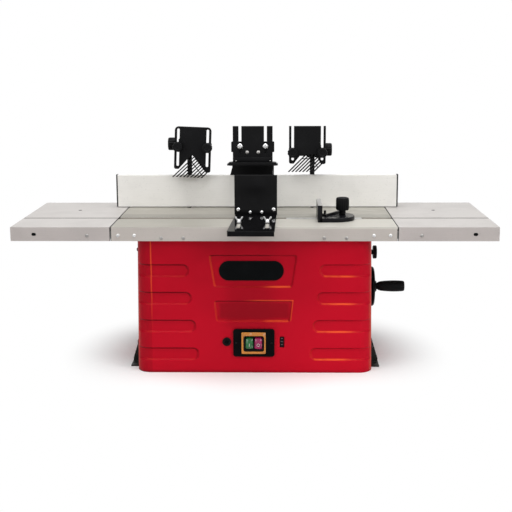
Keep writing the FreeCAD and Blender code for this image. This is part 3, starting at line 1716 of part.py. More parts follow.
def mitre_bar():
    """The bar in the track's slot, with the pivot pin of the head."""
    half = mitre_bar_width / 2
    bottom = table_height - bar_slot_depth + plate_gap / 2
    bar = block((mitre_bar_left, mitre_bar_right), (track_centre_y - half, track_centre_y + half),
                (bottom, bottom + mitre_bar_thickness))
    pin = rod_z((bottom, mitre_bottom + mitre_boss_height), mitre_pivot_x, track_centre_y,
                mitre_pivot_radius)
    stud = rod_z((bottom - overrun, bottom + mitre_bar_thickness + overrun), mitre_knob_x, track_centre_y,
                 mitre_stud_radius + running_fit)
    return joined([bar, pin]).cut(stud)


def mitre_base(z_range):
    """The round base with a straight strip along its front, cut away on a slant between strip and rear."""
    front = track_centre_y - mitre_front_offset
    rear = front + mitre_base_radius * 2
    middle_x = mitre_base_right - mitre_base_radius
    disc = rod_z(z_range, middle_x, front + mitre_base_radius, mitre_base_radius)
    strip = block((mitre_face_x, middle_x), (front, front + mitre_base_radius), z_range)
    hollow = plate_z(((mitre_face_x - overrun, front + mitre_strip_depth),
                      (mitre_hollow_left, front + mitre_strip_depth), (mitre_hollow_right, rear),
                      (mitre_hollow_right, rear + overrun),
                      (mitre_face_x - overrun, rear + overrun)), z_range)
    keep = block((mitre_face_x, mitre_base_right), (front, rear), z_range)
    return joined([disc, strip]).common(keep).cut(hollow)


def mitre_head():
    """The gauge's head: upright face, round base with its curved slot, and the pivot's boss."""
    front = track_centre_y - mitre_front_offset
    face_back = mitre_face_x + mitre_face_thickness
    face = block((mitre_face_x, face_back), (front, front + mitre_face_length),
                 (mitre_bottom, mitre_bottom + mitre_face_height))
    boss_range = (mitre_bottom, mitre_bottom + mitre_boss_height)
    boss = rod_z(boss_range, mitre_pivot_x, track_centre_y, mitre_boss_radius)
    web = block((mitre_face_x, mitre_pivot_x),
                (track_centre_y - mitre_boss_radius, track_centre_y + mitre_boss_radius), boss_range)
    head = joined([face, mitre_base((mitre_bottom, mitre_base_top)), boss, web])
    pivot = rod_z((0, table_height * 2), mitre_pivot_x, track_centre_y, mitre_pivot_radius + running_fit)
    arm = mitre_knob_x - mitre_pivot_x
    band = Part.makeCylinder(arm + mitre_slot_width / 2, mitre_base_height + overrun * 2,
                             V(mitre_pivot_x, track_centre_y, mitre_bottom - overrun), AXIS_Z,
                             mitre_slot_angle)
    band = band.cut(rod_z((0, table_height * 2), mitre_pivot_x, track_centre_y, arm - mitre_slot_width / 2))
    band.rotate(V(mitre_pivot_x, track_centre_y, 0), AXIS_Z, mitre_slot_start_angle)
    return head.cut([pivot, band])


def mitre_knob():
    """The clamp knob with its neck and stud."""
    low = mitre_base_top + plate_gap
    stud_bottom = table_height - bar_slot_depth + plate_gap
    grip_bottom = table_height + mitre_knob_rise
    top = grip_bottom + mitre_knob_height
    profile = ((stud_bottom, 0), (stud_bottom, mitre_stud_radius), (low, mitre_stud_radius),
               (low, mitre_neck_radius),
               (grip_bottom, mitre_neck_radius), (grip_bottom, mitre_knob_radius),
               (top, mitre_knob_radius), (top, 0))
    return turned_z(profile, mitre_knob_x, track_centre_y)


def build():
    """Make every piece and write its file."""
    os.makedirs("parts", exist_ok=True)
    save("body_shell", body_shell())
    save("base_plate", base_plate())
    save("mounting_feet", *[mounting_foot(side, end) for side, end in foot_places()])
    save("frame_screws", *frame_screws())
    save("main_table", main_table())
    save("left_extension_table", extension_table(-1))
    save("right_extension_table", extension_table(1))
    save("extension_rails", *extension_rails())
    save("mitre_track", mitre_track())
    save("table_insert_ring", table_insert_ring())
    save("badge_plate", badge_plate())
    save("switch_plate", switch_plate())
    save("switch_frame", switch_frame())
    save("control_boxes", switch_box(), reset_breaker(), speed_control())
    save("start_button", push_button(-1))
    save("stop_button", push_button(1))
    save("reset_button", reset_button())
    save("speed_dial", speed_dial())
    save("cable_gland", cable_gland())
    save("guide_rods", *guide_rods())
    save("gear_stand", gear_stand())
    save("shaft_bushes", *shaft_bushes())
    save("motor_carriage", motor_carriage())
    save("motor_housing", motor_housing())
    save("spindle_bearings", *spindle_bearings())
    save("armature", *armature())
    save("collet", collet())
    save("collet_nut", collet_nut())
    save("lead_screw", lead_screw())
    save("screw_bevel_gear", screw_bevel_gear())
    save("crank_shaft", crank_shaft())
    save("crank_bevel_gear", crank_bevel_gear())
    save("handwheel", *handwheel())
    save("crank_grip", crank_grip())
    save("lock_knob", lock_knob())
    save("fence_frame", fence_bracket(left_post_x, hood_left), fence_bracket(right_post_x, hood_right))
    save("cutter_hood", cutter_hood())
    save("comb_posts", comb_post(left_post_x), comb_post(right_post_x))
    save("left_fence_face", *fence_face(left_face_outer, left_face_inner))
    save("right_fence_face", *fence_face(right_face_outer, right_face_inner))
    save("left_fence_knob", fence_knob(left_post_x))
    save("right_fence_knob", fence_knob(right_post_x))
    save("left_comb", left_comb())
    save("right_comb", right_comb())
    save("left_comb_holder", *comb_holder(left_comb_x, left_post_x, left_knob_z, left_post_knob_z, -1))
    save("right_comb_holder", *comb_holder(right_comb_x, right_post_x, right_knob_z, right_post_knob_z, 1))
    save("left_post_knob", post_knob(left_comb_x, left_post_x, left_post_knob_z, -1))
    save("right_post_knob", post_knob(right_comb_x, right_post_x, right_post_knob_z, 1))
    save("centre_bracket", centre_bracket())
    save("pressure_bolts", *pressure_bolts())
    save("slotted_plate", slotted_plate())
    save("pressure_shoe", pressure_shoe())
    save("guard_foot", guard_foot())
    save("guard_plate", guard_plate())
    save("guard_bolts", *guard_bolts())
    save("left_wing_bolt", wing_bolt(wing_left_x))
    save("right_wing_bolt", wing_bolt(wing_right_x))
    save("mitre_bar", mitre_bar())
    save("mitre_head", mitre_head())
    save("mitre_knob", mitre_knob())


build()
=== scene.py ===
import json
import math

import bmesh
import bpy
from mathutils import Matrix, Vector


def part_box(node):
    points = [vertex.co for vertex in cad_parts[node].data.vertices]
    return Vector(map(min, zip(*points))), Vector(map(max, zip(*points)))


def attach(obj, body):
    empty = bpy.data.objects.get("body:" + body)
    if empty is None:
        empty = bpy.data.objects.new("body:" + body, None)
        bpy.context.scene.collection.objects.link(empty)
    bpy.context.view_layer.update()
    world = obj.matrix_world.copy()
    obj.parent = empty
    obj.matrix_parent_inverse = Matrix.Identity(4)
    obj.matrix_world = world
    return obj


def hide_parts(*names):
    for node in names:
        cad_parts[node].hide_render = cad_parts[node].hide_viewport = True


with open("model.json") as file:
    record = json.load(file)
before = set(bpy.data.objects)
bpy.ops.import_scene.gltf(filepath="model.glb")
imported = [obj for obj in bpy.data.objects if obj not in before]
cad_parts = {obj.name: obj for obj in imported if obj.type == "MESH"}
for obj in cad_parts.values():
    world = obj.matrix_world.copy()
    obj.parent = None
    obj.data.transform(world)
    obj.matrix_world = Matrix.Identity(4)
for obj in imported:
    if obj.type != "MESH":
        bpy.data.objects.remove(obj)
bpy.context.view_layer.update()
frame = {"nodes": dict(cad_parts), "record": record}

# Millimetres become metres where a mesh is made
mm = 0.001
full_turn = 2 * math.pi
quarter_turn = math.pi / 2

# The photograph's camera, in the machine's own frame
image_px = 512
focal_px = 1030.06
sensor_mm = 36.0
camera_place = Vector((53.08, -2333.95, 693.76))
camera_yaw = 0.0225
camera_pitch = 0.1974
camera_roll = -0.0037

# How bright the light from all round is
soft_light = 0.27

# The tables' upper face, and where the body's front wall ends on the left in its bend
table_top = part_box("main_table")[1][2] / mm
body_flare = 9.0
body_corner = 31.0
left_bend_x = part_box("body_shell")[0][0] / mm + body_flare / 2 + body_corner

# Above this height, in metres, lie the tables' upper faces and what is sunk a little into them
upper_faces = (table_top - 4.0) * mm

# The two panels pressed into the body's front: top, bottom, width at the top and at the bottom, depth
press_depth = 4.0
panel_depth = 6.0
panel_x = -2.0
panels = ((262.5, 190.0, 192.0, 170.0, press_depth), (162.0, 114.0, 172.0, 161.5, panel_depth))


# Shader sums

class Value:
    """A socket of a material that takes part in Python sums."""

    def __init__(self, finish, socket):
        self.finish = finish
        self.socket = socket

    def sum(self, operation, *terms):
        return self.finish.node("ShaderNodeMath", {"operation": operation}, dict(enumerate(terms)))

    def __add__(self, other):
        return self.sum("ADD", self, other)

    __radd__ = __add__

    def __sub__(self, other):
        return self.sum("SUBTRACT", self, other)

    def __rsub__(self, other):
        return self.sum("SUBTRACT", other, self)

    def __mul__(self, other):
        return self.sum("MULTIPLY", self, other)

    __rmul__ = __mul__

    def __gt__(self, other):
        return self.sum("GREATER_THAN", self, other)

    def __abs__(self):
        return self.sum("ABSOLUTE", self)

    def between(self, low, high):
        """0 below low, 1 above high, and a smooth step between."""
        return self.finish.node("ShaderNodeMapRange", {"interpolation_type": "SMOOTHSTEP"},
                                {"Value": self, "From Min": low, "From Max": high})

    def near(self, place, inner, outer):
        """1 within the inner distance of a place, 0 beyond the outer one."""
        return 1 - abs(self - place).between(inner, outer)


class Finish:
    """The nodes of one material or of the world, and short ways to add more of them."""

    def __init__(self, name, home=None, shader="Principled BSDF", **constants):
        self.home = home or bpy.data.materials.new(name)
        self.home.use_nodes = True
        self.tree = self.home.node_tree
        self.shader = self.tree.nodes[shader]
        for key, value in constants.items():
            self.feed(key.replace("_", " ").title(), value)

    def node(self, kind, settings, inputs, output=0):
        """Any node: its settings first, then the values or links of its sockets."""
        node = self.tree.nodes.new(kind)
        for key, value in settings.items():
            setattr(node, key, value)
        for key, value in inputs.items():
            self.join(value, node.inputs[key])
        return Value(self, node.outputs[output])

    def join(self, value, socket):
        if isinstance(value, Value):
            self.tree.links.new(value.socket, socket)
        else:
            socket.default_value = value

    def feed(self, name, value):
        """Set or link one of the shader's own sockets."""
        socket = self.shader.inputs[name.replace("Ior", "IOR")]
        if name.endswith("Color") and isinstance(value, tuple):
            value = (*value, 1.0)
        self.join(value, socket)

    def places(self, stretch=None):
        """Where a point of the piece is, stretched along each axis."""
        spot = self.node("ShaderNodeTexCoord", {}, {}, "Object")
        if stretch is None:
            return spot
        return self.node("ShaderNodeVectorMath", {"operation": "MULTIPLY"}, {0: spot, 1: stretch})

    def along(self, axis):
        """The place along one axis, in metres."""
        return self.node("ShaderNodeSeparateXYZ", {}, {"Vector": self.places()}, axis)

    def noise(self, scale, detail=3.0, stretch=None):
        """Soft random blotches, smaller with a larger scale."""
        inputs = {"Vector": self.places(stretch), "Scale": scale, "Detail": detail}
        return self.node("ShaderNodeTexNoise", {}, inputs)

    def mix(self, factor, first, second):
        """A colour between two colours, by the Mix node's own colour sockets."""
        def full(colour):
            return (*colour, 1.0) if isinstance(colour, tuple) else colour
        inputs = {0: factor, 6: full(first), 7: full(second)}
        return self.node("ShaderNodeMix", {"data_type": "RGBA"}, inputs, 2)

    def tint(self, factor, colour):
        """Lay another colour over the one that the piece has so far."""
        so_far = Value(self, self.shader.inputs["Base Color"].links[0].from_socket)
        self.feed("Base Color", self.mix(factor, so_far, colour))

    def edges(self, reach):
        """Near 1 on the piece's edges and 0 on its flats."""
        soft = self.node("ShaderNodeBevel", {"samples": 4}, {"Radius": reach})
        flat = self.node("ShaderNodeNewGeometry", {}, {}, "Normal")
        dot_product = {"operation": "DOT_PRODUCT"}
        likeness = self.node("ShaderNodeVectorMath", dot_product, {0: soft, 1: flat}, "Value")
        return (1 - likeness).between(0.01, 0.12)

    def turned(self, axis):
        """How far the surface faces along one axis, from -1 to 1."""
        flat = self.node("ShaderNodeNewGeometry", {}, {}, "Normal")
        return self.node("ShaderNodeSeparateXYZ", {}, {"Vector": flat}, axis)

    def backdrop_rays(self):
        """1 for a ray that looks at the backdrop, straight or by way of metal or glass."""
        kinds = ("Is Camera Ray", "Is Glossy Ray", "Is Transmission Ray")
        return sum(self.node("ShaderNodeLightPath", {}, {}, kind) for kind in kinds)

    def blend(self, factor, first, second, end):
        """Show one of two shaders by a factor, at the end of the tree."""
        both = self.node("ShaderNodeMixShader", {}, {0: factor, 1: first, 2: second})
        self.tree.links.new(both.socket, self.tree.nodes[end].inputs["Surface"])

    def bump(self, height, strength, depth, rounding=0.0004):
        """A bump on top of slightly rounded edges."""
        soft = self.node("ShaderNodeBevel", {"samples": 4}, {"Radius": rounding})
        self.feed("Normal", self.node("ShaderNodeBump", {}, {"Height": height, "Strength": strength,
                                                             "Distance": depth, "Normal": soft}))


def tinted(colour, share):
    """A colour made lighter or darker by a share."""
    return tuple(min(1.0, part * share) for part in colour)


def red_enamel():
    """Red paint on pressed steel, with painted highlights along ledges and bends and painted shade under the
    pressed edges.
    """
    finish = Finish("red_enamel", specular_ior_level=0.07)
    red = (0.43, 0.0022, 0.014)
    highlight_orange = (0.86, 0.105, 0.022)
    patches = finish.noise(9.0, 2.0).between(0.3, 0.7)
    speckle = finish.noise(900.0, 1.0)
    streaks = finish.noise(22.0, 3.0, (1.0, 1.0, 0.15))
    x = finish.along("X")
    z = finish.along("Z")
    up = finish.turned("Z")
    rightward = finish.turned("X")
    sideways = abs(rightward)
    forward = finish.turned("Y") * -1
    front = forward.between(0.5, 0.8)

    # Stretches of the front, in metres: flat, with painted light on the right and low down, and painted
    # shade in its middle and round its left bend
    bend_from = -left_bend_x * mm
    flat_wall = 1 - abs(x).between(bend_from - 0.004, bend_from + 0.002)
    rightmost = x.between(bend_from - 0.022, bend_from + 0.004)
    lit = x.between(0.012, 0.048) * (1 - rightmost)
    middle = x.between(-0.08, -0.04) * (1 - x.between(0.02, 0.07)) * z.between(0.08, 0.12) * front
    left_end = (1 - x.between(-bend_from - 0.002, -bend_from)) * forward.between(0.1, 0.4)
    lower = 1 - z.between(0.02, 0.22)

    # Painted highlights on the slopes of the pressed ribs and panels that face upward and rightward, painted
    # shade on those that face downward and leftward
    straight = 1 - sideways.between(0.1, 0.35)
    ledge = up.between(0.12, 0.75) * streaks.between(0.25, 0.6) * straight * (0.1 + lit * 0.9)
    sides = rightward.between(0.15, 0.5) * flat_wall * streaks.between(0.3, 0.6)
    sides = sides * (1 - x.between(0.1, 0.11) * 0.7)
    shaded_end = (-1 * rightward).between(0.15, 0.5) * flat_wall
    under = (-1 * up).between(0.05, 0.6) * (1 - lit * 0.45) * (1 - rightmost * 0.8)
    under = under + shaded_end * 0.35

    # Painted highlights along the body's bends, and a painted highlight line along the left one
    bend = sideways.between(0.72, 0.90) * (1 - sideways.between(0.93, 0.985)) * streaks.between(0.3, 0.7)
    left_bend_highlight = x.near(left_bend_x * mm, 0.0006, 0.0022) * front * z.between(0.08, 0.24)

    # Painted shade on the lower panel's sunk face, and a painted highlight along its rim
    top, bottom, top_width, bottom_width = (size * mm for size in panels[1][:4])
    low_panel = z.between(bottom + 0.002, bottom + 0.012) * (1 - z.between(top - 0.01, top - 0.002))
    low_panel = low_panel * (1 - abs(x).between(0.07, 0.082)) * front
    end_slope = (top_width - bottom_width) / 2 / (top - bottom)
    panel_end = (z - bottom) * end_slope + bottom_width / 2 + panel_x * mm
    top_rim = z.near(top, 0.0007, 0.002) * x.between(-0.03, 0.02)
    top_rim = top_rim * (1 - (x - panel_end).between(0, 0.001))
    end_rim = x.near(panel_end, 0.0005, 0.0018) * z.between(bottom, bottom + 0.006)
    rim = (top_rim + end_rim * (1 - z.between(top, top + 0.001))) * front

    finish.feed("Base Color", finish.mix(patches, tinted(red, 0.92), tinted(red, 1.05)))
    # Painted light low on the front and towards its right
    finish.tint((lower * 0.7 + x.between(0.0, 0.2) * 0.5) * front, tinted(red, 1.28))
    # Painted shade in the middle of the front and round its left bend
    finish.tint(middle * 0.7 + left_end * 0.5, tinted(red, 0.78))
    # Painted shade on the lower panel's sunk face
    finish.tint(low_panel * 0.8, tinted(red, 0.62))
    # Painted shade under the pressed edges and on the ends that face left
    finish.tint(under * 0.75, tinted(red, 0.25))
    # Painted highlights along the ledges, on the slopes that face right and along the lower panel's rim
    finish.tint(ledge * 0.8 + sides * 0.3 + rim * 0.5, highlight_orange)
    # Painted highlights along the bends and along the line of the left bend
    finish.tint(bend * 0.4 + left_bend_highlight * 0.5, highlight_orange)
    finish.feed("Roughness", 0.36 + finish.noise(40.0) * 0.1)
    finish.bump(finish.noise(420.0, 1.0) + speckle * 0.3, 0.10, 0.0003, 0.0006)
    return finish.home


def ground_aluminium(name, tone, top_tone, shine=0.3, band=None, seam=None):
    """Ground aluminium: fine lines along it and blotches, painted highlights on its edges, and a tone on top
    that paints the light and shade of the upper faces.

    The band is where a darker strip starts and ends in Y, and the share of the tone that is left there.
    The seam is how far the gap between the tables lies from the middle in X; painted shade darkens it.
    """
    finish = Finish(name, metallic=shine, specular_ior_level=0.4)
    lines = finish.noise(9.0, 4.0, (2.0, 160.0, 160.0))
    blotches = finish.noise(14.0, 5.0).between(0.35, 0.7)
    specks = finish.noise(260.0, 2.0).between(0.62, 0.78)
    on_top = finish.along("Z") > (table_top - 0.4) * mm
    # The tone on top is painted light and shade of the upper faces
    finish.feed("Base Color", finish.mix(on_top, tone, top_tone))
    if band:
        across = finish.along("Y")
        front, back, left_over = band
        blur = (back - front) / 10
        # The darker strip; on the extensions it is painted shade along the groove
        wear_and_shade = across.between(front - blur, front + blur) * (1 - across.between(back - blur, back + blur))
        finish.tint(wear_and_shade * (finish.along("Z") > upper_faces), tinted(top_tone, left_over))
    finish.tint(blotches * 0.14, tinted(tone, 0.5))
    finish.tint(lines * 0.20, tinted(tone, 0.5))
    finish.tint(specks * 0.2, tinted(tone, 0.4))
    # Painted highlight along the edges
    finish.tint(finish.edges(0.0012) * 0.4, tinted(tone, 1.25))
    if seam:
        # Painted shade in the gap between the tables, lighter on top
        gap = abs(finish.along("X")).near(seam, 0.0011, 0.0026)
        finish.tint(gap * (0.95 - on_top * 0.4), (0.02, 0.02, 0.02))
    finish.feed("Roughness", 0.40 + lines * 0.16 + blotches * 0.05)
    finish.bump(lines + specks * 0.4, 0.12, 0.0002)
    return finish


def main_aluminium(name):
    """The main table's aluminium: towards the right, painted light before the mitre track and scuffs behind
    it.
    """
    finish = ground_aluminium(name, *main_tones, 0.3, darker_band, seam_x)
    behind = finish.along("Y").between(-0.072, -0.066)
    right = finish.along("X").between(-0.2, 0.2) * (finish.along("Z") > upper_faces)
    scuffs = finish.noise(24.0, 5.0, (1.0, 4.0, 1.0)).between(0.35, 0.68)
    finish.tint(right * behind * 0.35, finish.mix(scuffs, (0.26, 0.25, 0.22), (0.49, 0.48, 0.44)))
    # Painted light on the front strip, towards the right
    finish.tint(right * (1 - behind) * 0.75, (0.57, 0.55, 0.50))
    return finish.home


def fence_aluminium(name, cap=None):
    """The fence's extruded aluminium, with a painted shadow along its foot, and dark on a cap between two
    places in X.
    """
    tone = (0.90, 0.885, 0.85)
    finish = ground_aluminium(name, tone, tone, 0.15)
    # Painted shadow along the fence's foot
    foot = 1 - finish.along("Z").between((table_top + 1.0) * mm, (table_top + 2.4) * mm)
    finish.tint(foot * 0.7, (0.05, 0.048, 0.045))
    if cap:
        spot = finish.along("X")
        dark = (spot > cap[0]) * (cap[1] - spot > 0)
        finish.tint(dark, (0.03, 0.03, 0.032))
        finish.feed("Metallic", 0.15 - dark * 0.15)
    return finish.home


def black_coat(name, gloss, grain, colour=(0.006, 0.006, 0.0065), sheen=0.12):
    """Black paint or plastic: dust in blotches, a painted grey highlight along its edges, and a fine grain.
    """
    finish = Finish(name, specular_ior_level=sheen)
    dust = finish.noise(30.0, 4.0).between(0.45, 0.75)
    finish.feed("Base Color", finish.mix(dust * 0.5, colour, tinted(colour, 2.0)))
    # Painted highlight along the edges
    finish.tint(finish.edges(0.0012) * 0.4, (0.03, 0.03, 0.031))
    finish.feed("Roughness", gloss + finish.noise(55.0) * gloss * 0.4)
    finish.bump(finish.noise(grain, 2.0), gloss * 0.5, 0.0002)
    return finish.home


def bare_metal(name, tone, rough, scratch=300.0, metallic=1.0):
    """Machined or plated metal with fine turning marks and dull spots."""
    finish = Finish(name, metallic=metallic)
    dull = finish.noise(70.0, 4.0).between(0.4, 0.75)
    marks = finish.noise(scratch, 3.0, (1.0, 1.0, 6.0))
    finish.feed("Base Color", finish.mix(dull, tone, tinted(tone, 0.8)))
    # Painted highlight along the edges
    finish.tint(finish.edges(0.0008) * 0.4, tinted(tone, 1.25))
    finish.feed("Roughness", rough + dull * 0.12 + marks * 0.06)
    finish.bump(marks, 0.08, 0.0002)
    return finish.home


def clear_moulding(name, colour, rim, rough=0.16):
    """Glossy coloured plastic with a little depth, fine scuffs that carry a painted whitish highlight, and a
    tone along the rim that is painted shade on the buttons.
    """
    finish = Finish(name, coat_weight=0.4, coat_roughness=0.08, specular_ior_level=0.3)
    cloud = finish.noise(60.0, 3.0)
    scuffs = finish.noise(150.0, 4.0, (1.0, 1.0, 0.4)).between(0.58, 0.72)
    finish.feed("Base Color", finish.mix(cloud, tinted(colour, 0.7), tinted(colour, 1.3)))
    # Painted whitish highlight along the scuffs
    finish.tint(scuffs * 0.25, (0.6, 0.6, 0.6))
    # A tone along the rim, painted shade on the buttons
    finish.tint(finish.edges(0.0025) * 0.8, rim)
    finish.feed("Roughness", rough + scuffs * 0.2)
    finish.bump(cloud + scuffs * 0.3, 0.05, 0.0002)
    return finish.home


def print_ink(name, colour):
    """Worn ink on the dial and the buttons."""
    finish = Finish(name)
    wear_and_shade = finish.noise(500.0, 3.0).between(0.3, 0.6)
    finish.feed("Base Color", finish.mix(wear_and_shade, tinted(colour, 0.6), colour))
    finish.feed("Roughness", 0.5 + wear_and_shade * 0.1)
    finish.bump(wear_and_shade, 0.1, 0.0001)
    return finish.home


main_tones = ((0.50, 0.458, 0.425), (0.375, 0.357, 0.312))
extension_tones = ((0.49, 0.447, 0.43), (0.555, 0.53, 0.51))
darker_band = (-0.05, -0.002, 0.8)
# On the extensions the band is painted shade along the groove
groove_shade_band = (-0.0625, -0.0535, 0.27)
seam_x = (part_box("main_table")[1][0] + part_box("right_extension_table")[0][0]) / 2
extension_finish = ground_aluminium("extension_ground", *extension_tones, 0.3, groove_shade_band, seam_x)
finishes = {
    "red_paint": red_enamel(),
    "table_aluminium": extension_finish.home,
    "fence_aluminium": fence_aluminium("extruded_aluminium"),
    "black_paint": black_coat("black_enamel", 0.28, 700.0, (0.005, 0.005, 0.0055), 0.09),
    "black_plastic": black_coat("black_moulding", 0.42, 1100.0, (0.0045, 0.0045, 0.005), 0.09),
    "black_gloss": black_coat("black_gloss", 0.05, 200.0, (0.004, 0.004, 0.0045), 0.05),
    "amber_plastic": clear_moulding("amber_moulding", (0.55, 0.195, 0.018), (0.66, 0.28, 0.04)),
    "green_plastic": clear_moulding("green_button", (0.007, 0.12, 0.027), (0.003, 0.022, 0.008)),
    "red_plastic": clear_moulding("red_button", (0.31, 0.006, 0.085), (0.06, 0.003, 0.025)),
    "steel": bare_metal("ground_steel", (0.55, 0.55, 0.55), 0.28),
    "zinc_steel": bare_metal("bright_zinc", (0.66, 0.66, 0.66), 0.2),
    "cast_iron": bare_metal("cast_iron", (0.16, 0.16, 0.165), 0.55, 120.0, 0.6),
    "brass": bare_metal("turned_brass", (0.72, 0.52, 0.2), 0.3),
}
# A darker copy of the metal for screws, as painted shade
shaded_screw = bare_metal("shaded_screws", (0.35, 0.34, 0.33), 0.34)
# A near-black copy of the metal for screws that sit in shade, as painted shade
shade_dark_screw = bare_metal("shade_dark_screws", (0.10, 0.10, 0.10), 0.4)
foot_enamel = black_coat("foot_enamel", 0.4, 500.0, (0.016, 0.016, 0.014), 0.15)
button_ink = print_ink("button_ink", (0.55, 0.55, 0.53))
dial_ink = print_ink("dial_ink", (0.24, 0.17, 0.19))
deep_black = black_coat("deep_black", 0.2, 300.0, (0.0025, 0.003, 0.0034), 0.03)
slot_of = {part["node"]: part["material_slot"] for part in frame["record"]["subparts"]}


# Meshes. Every function here works in millimetres in the machine's frame, and gives a mesh in metres.

def make_mesh(points, faces, at=None):
    mesh = bpy.data.meshes.new("part")
    mesh.from_pydata([Vector(point) * mm for point in points], [], faces)
    mesh.validate()
    if at:
        mesh.transform(at)
    return mesh


def grid_faces(rows, count, closed=True):
    """Four-sided faces between rows of points; a closed row joins its last point to its first."""
    faces = []
    for row in range(rows - 1):
        low = row * count
        high = low + count
        for step in range(count if closed else count - 1):
            after = (step + 1) % count
            faces.append((low + step, low + after, high + after, high + step))
    return faces


# The turn that makes a local Z look along an axis
looks = {"+x": ((0, 0, 1), (1, 0, 0), (0, 1, 0)),
         "-x": ((0, 0, -1), (-1, 0, 0), (0, 1, 0)),
         "+y": ((-1, 0, 0), (0, 0, 1), (0, 1, 0)),
         "-y": ((1, 0, 0), (0, 0, -1), (0, 1, 0)),
         "+z": ((1, 0, 0), (0, 1, 0), (0, 0, 1))}


def facing(axis, place):
    """A matrix whose local Z looks along an axis, at a place in millimetres."""
    return Matrix.Translation(Vector(place) * mm) @ Matrix(looks[axis]).to_4x4()


def lathe(profile, at, steps=48, flutes=0, flute_depth=0.0):
    """A turned form from points of height and radius; a third number is a point's share of the flutes."""
    points = []
    for height, radius, *share in profile:
        grip = share[0] if share else 0
        for step in range(steps):
            angle = full_turn * step / steps
            wave = (1 + math.cos(angle * flutes)) / 2 if flutes else 0
            reach = radius - flute_depth * grip * wave ** 2
            points.append((reach * math.cos(angle), reach * math.sin(angle), height))
    last = len(points) - steps
    faces = grid_faces(len(profile), steps)
    faces += [tuple(range(steps - 1, -1, -1)), tuple(range(last, last + steps))]
    return make_mesh(points, faces, at)


def soft_corners(points, radius, steps=6):
    """An outline whose corners are rounded; a radius may be one number or one for each corner."""
    outline = []
    count = len(points)
    radii = radius if isinstance(radius, (list, tuple)) else [radius] * count
    for number, point in enumerate(points):
        corner = Vector(point)
        back = (Vector(points[number - 1]) - corner).normalized()
        ahead = (Vector(points[(number + 1) % count]) - corner).normalized()
        half = back.angle(ahead) / 2
        if radii[number] <= 0 or abs(half - quarter_turn) < 0.001:
            outline.append(tuple(corner))
            continue
        run = radii[number] / math.tan(half)
        middle = corner + (back + ahead).normalized() * (radii[number] / math.sin(half))
        start = corner + back * run - middle
        sweep = start.angle_signed(corner + ahead * run - middle)
        for step in range(steps + 1):
            spoke = Matrix.Rotation(-sweep * step / steps, 2) @ start
            outline.append(tuple(middle + spoke))
    return outline


def box_outline(u0, u1, v0, v1, radius, steps=6):
    return soft_corners(((u0, v0), (u1, v0), (u1, v1), (u0, v1)), radius, steps)


def arc(middle, radius, start, end, steps):
    """Points along an arc from one angle to another, both ends included."""
    u, v = middle
    angles = [start + (end - start) * step / steps for step in range(steps + 1)]
    return [(u + radius * math.cos(angle), v + radius * math.sin(angle)) for angle in angles]


def disc_outline(u, v, radius, steps=32):
    return arc((u, v), radius, 0, full_turn, steps)[:-1]


def arc_slot(middle, arm, half, start, end):
    """The outline of a round-ended slot along an arc, from one angle to another in degrees."""
    start = math.radians(start)
    end = math.radians(end)
    first, last = arc(middle, arm, start, end, 1)
    points = arc(middle, arm + half, start, end, 24)
    points += arc(last, half, end, end + math.pi, 8)[1:-1]
    points += arc(middle, arm - half, end, start, 24)
    return points + arc(first, half, start + math.pi, start + full_turn, 8)[1:-1]


def slotted_top(left, right, top, slot_xs, slot_low, slot_half, slot_round, end_round):
    """A plate's upper edge from right to left, with slots open at the top, and the radii of its corners."""
    points = [(right, top)]
    radii = [end_round]
    for x in sorted(slot_xs, reverse=True):
        points += [(x + slot_half, top), (x + slot_half, slot_low)]
        points += [(x - slot_half, slot_low), (x - slot_half, top)]
        radii += [end_round, slot_round, slot_round, end_round]
    return points + [(left, top)], radii + [end_round]


def plate(outlines, thickness, rim, at):
    """A flat plate with a softened rim: the first outline is its edge, the others are its holes."""
    curve = bpy.data.curves.new("outline", "CURVE")
    curve.dimensions = "2D"
    curve.fill_mode = "BOTH"
    curve.extrude = (thickness / 2 - rim) * mm
    curve.bevel_depth = rim * mm
    curve.bevel_resolution = 1
    curve.offset = -rim * mm
    for outline in outlines:
        spline = curve.splines.new("POLY")
        spline.points.add(len(outline) - 1)
        for point, (u, v) in zip(spline.points, outline):
            point.co = (u * mm, v * mm, 0, 1)
        spline.use_cyclic_u = True
    carrier = bpy.data.objects.new("outline", curve)
    mesh = bpy.data.meshes.new_from_object(carrier)
    bpy.data.objects.remove(carrier)
    bpy.data.curves.remove(curve)
    mesh.transform(at)
    return mesh


def bridge(first, second, width, thickness, at):
    """A thin strip between two points of a plate."""
    start = Vector(first)
    end = Vector(second)
    aside = Vector((start.y - end.y, end.x - start.x)).normalized() * width / 2
    corners = (start + aside, end + aside, end - aside, start - aside)
    return plate([[tuple(corner) for corner in corners]], thickness, 0.2, at)


def soft_block(low, high, rim):
    """A block between two corners with softened edges."""
    form = bmesh.new()
    bmesh.ops.create_cube(form, size=1.0)
    size = Vector(high) - Vector(low)
    centre = (Vector(high) + Vector(low)) / 2
    for vert in form.verts:
        vert.co = Vector((vert.co.x * size.x, vert.co.y * size.y, vert.co.z * size.z)) * mm + centre * mm
    bmesh.ops.bevel(form, geom=form.edges[:], offset=rim * mm, segments=2, affect="EDGES", profile=0.5)
    mesh = bpy.data.meshes.new("part")
    form.to_mesh(mesh)
    form.free()
    return mesh


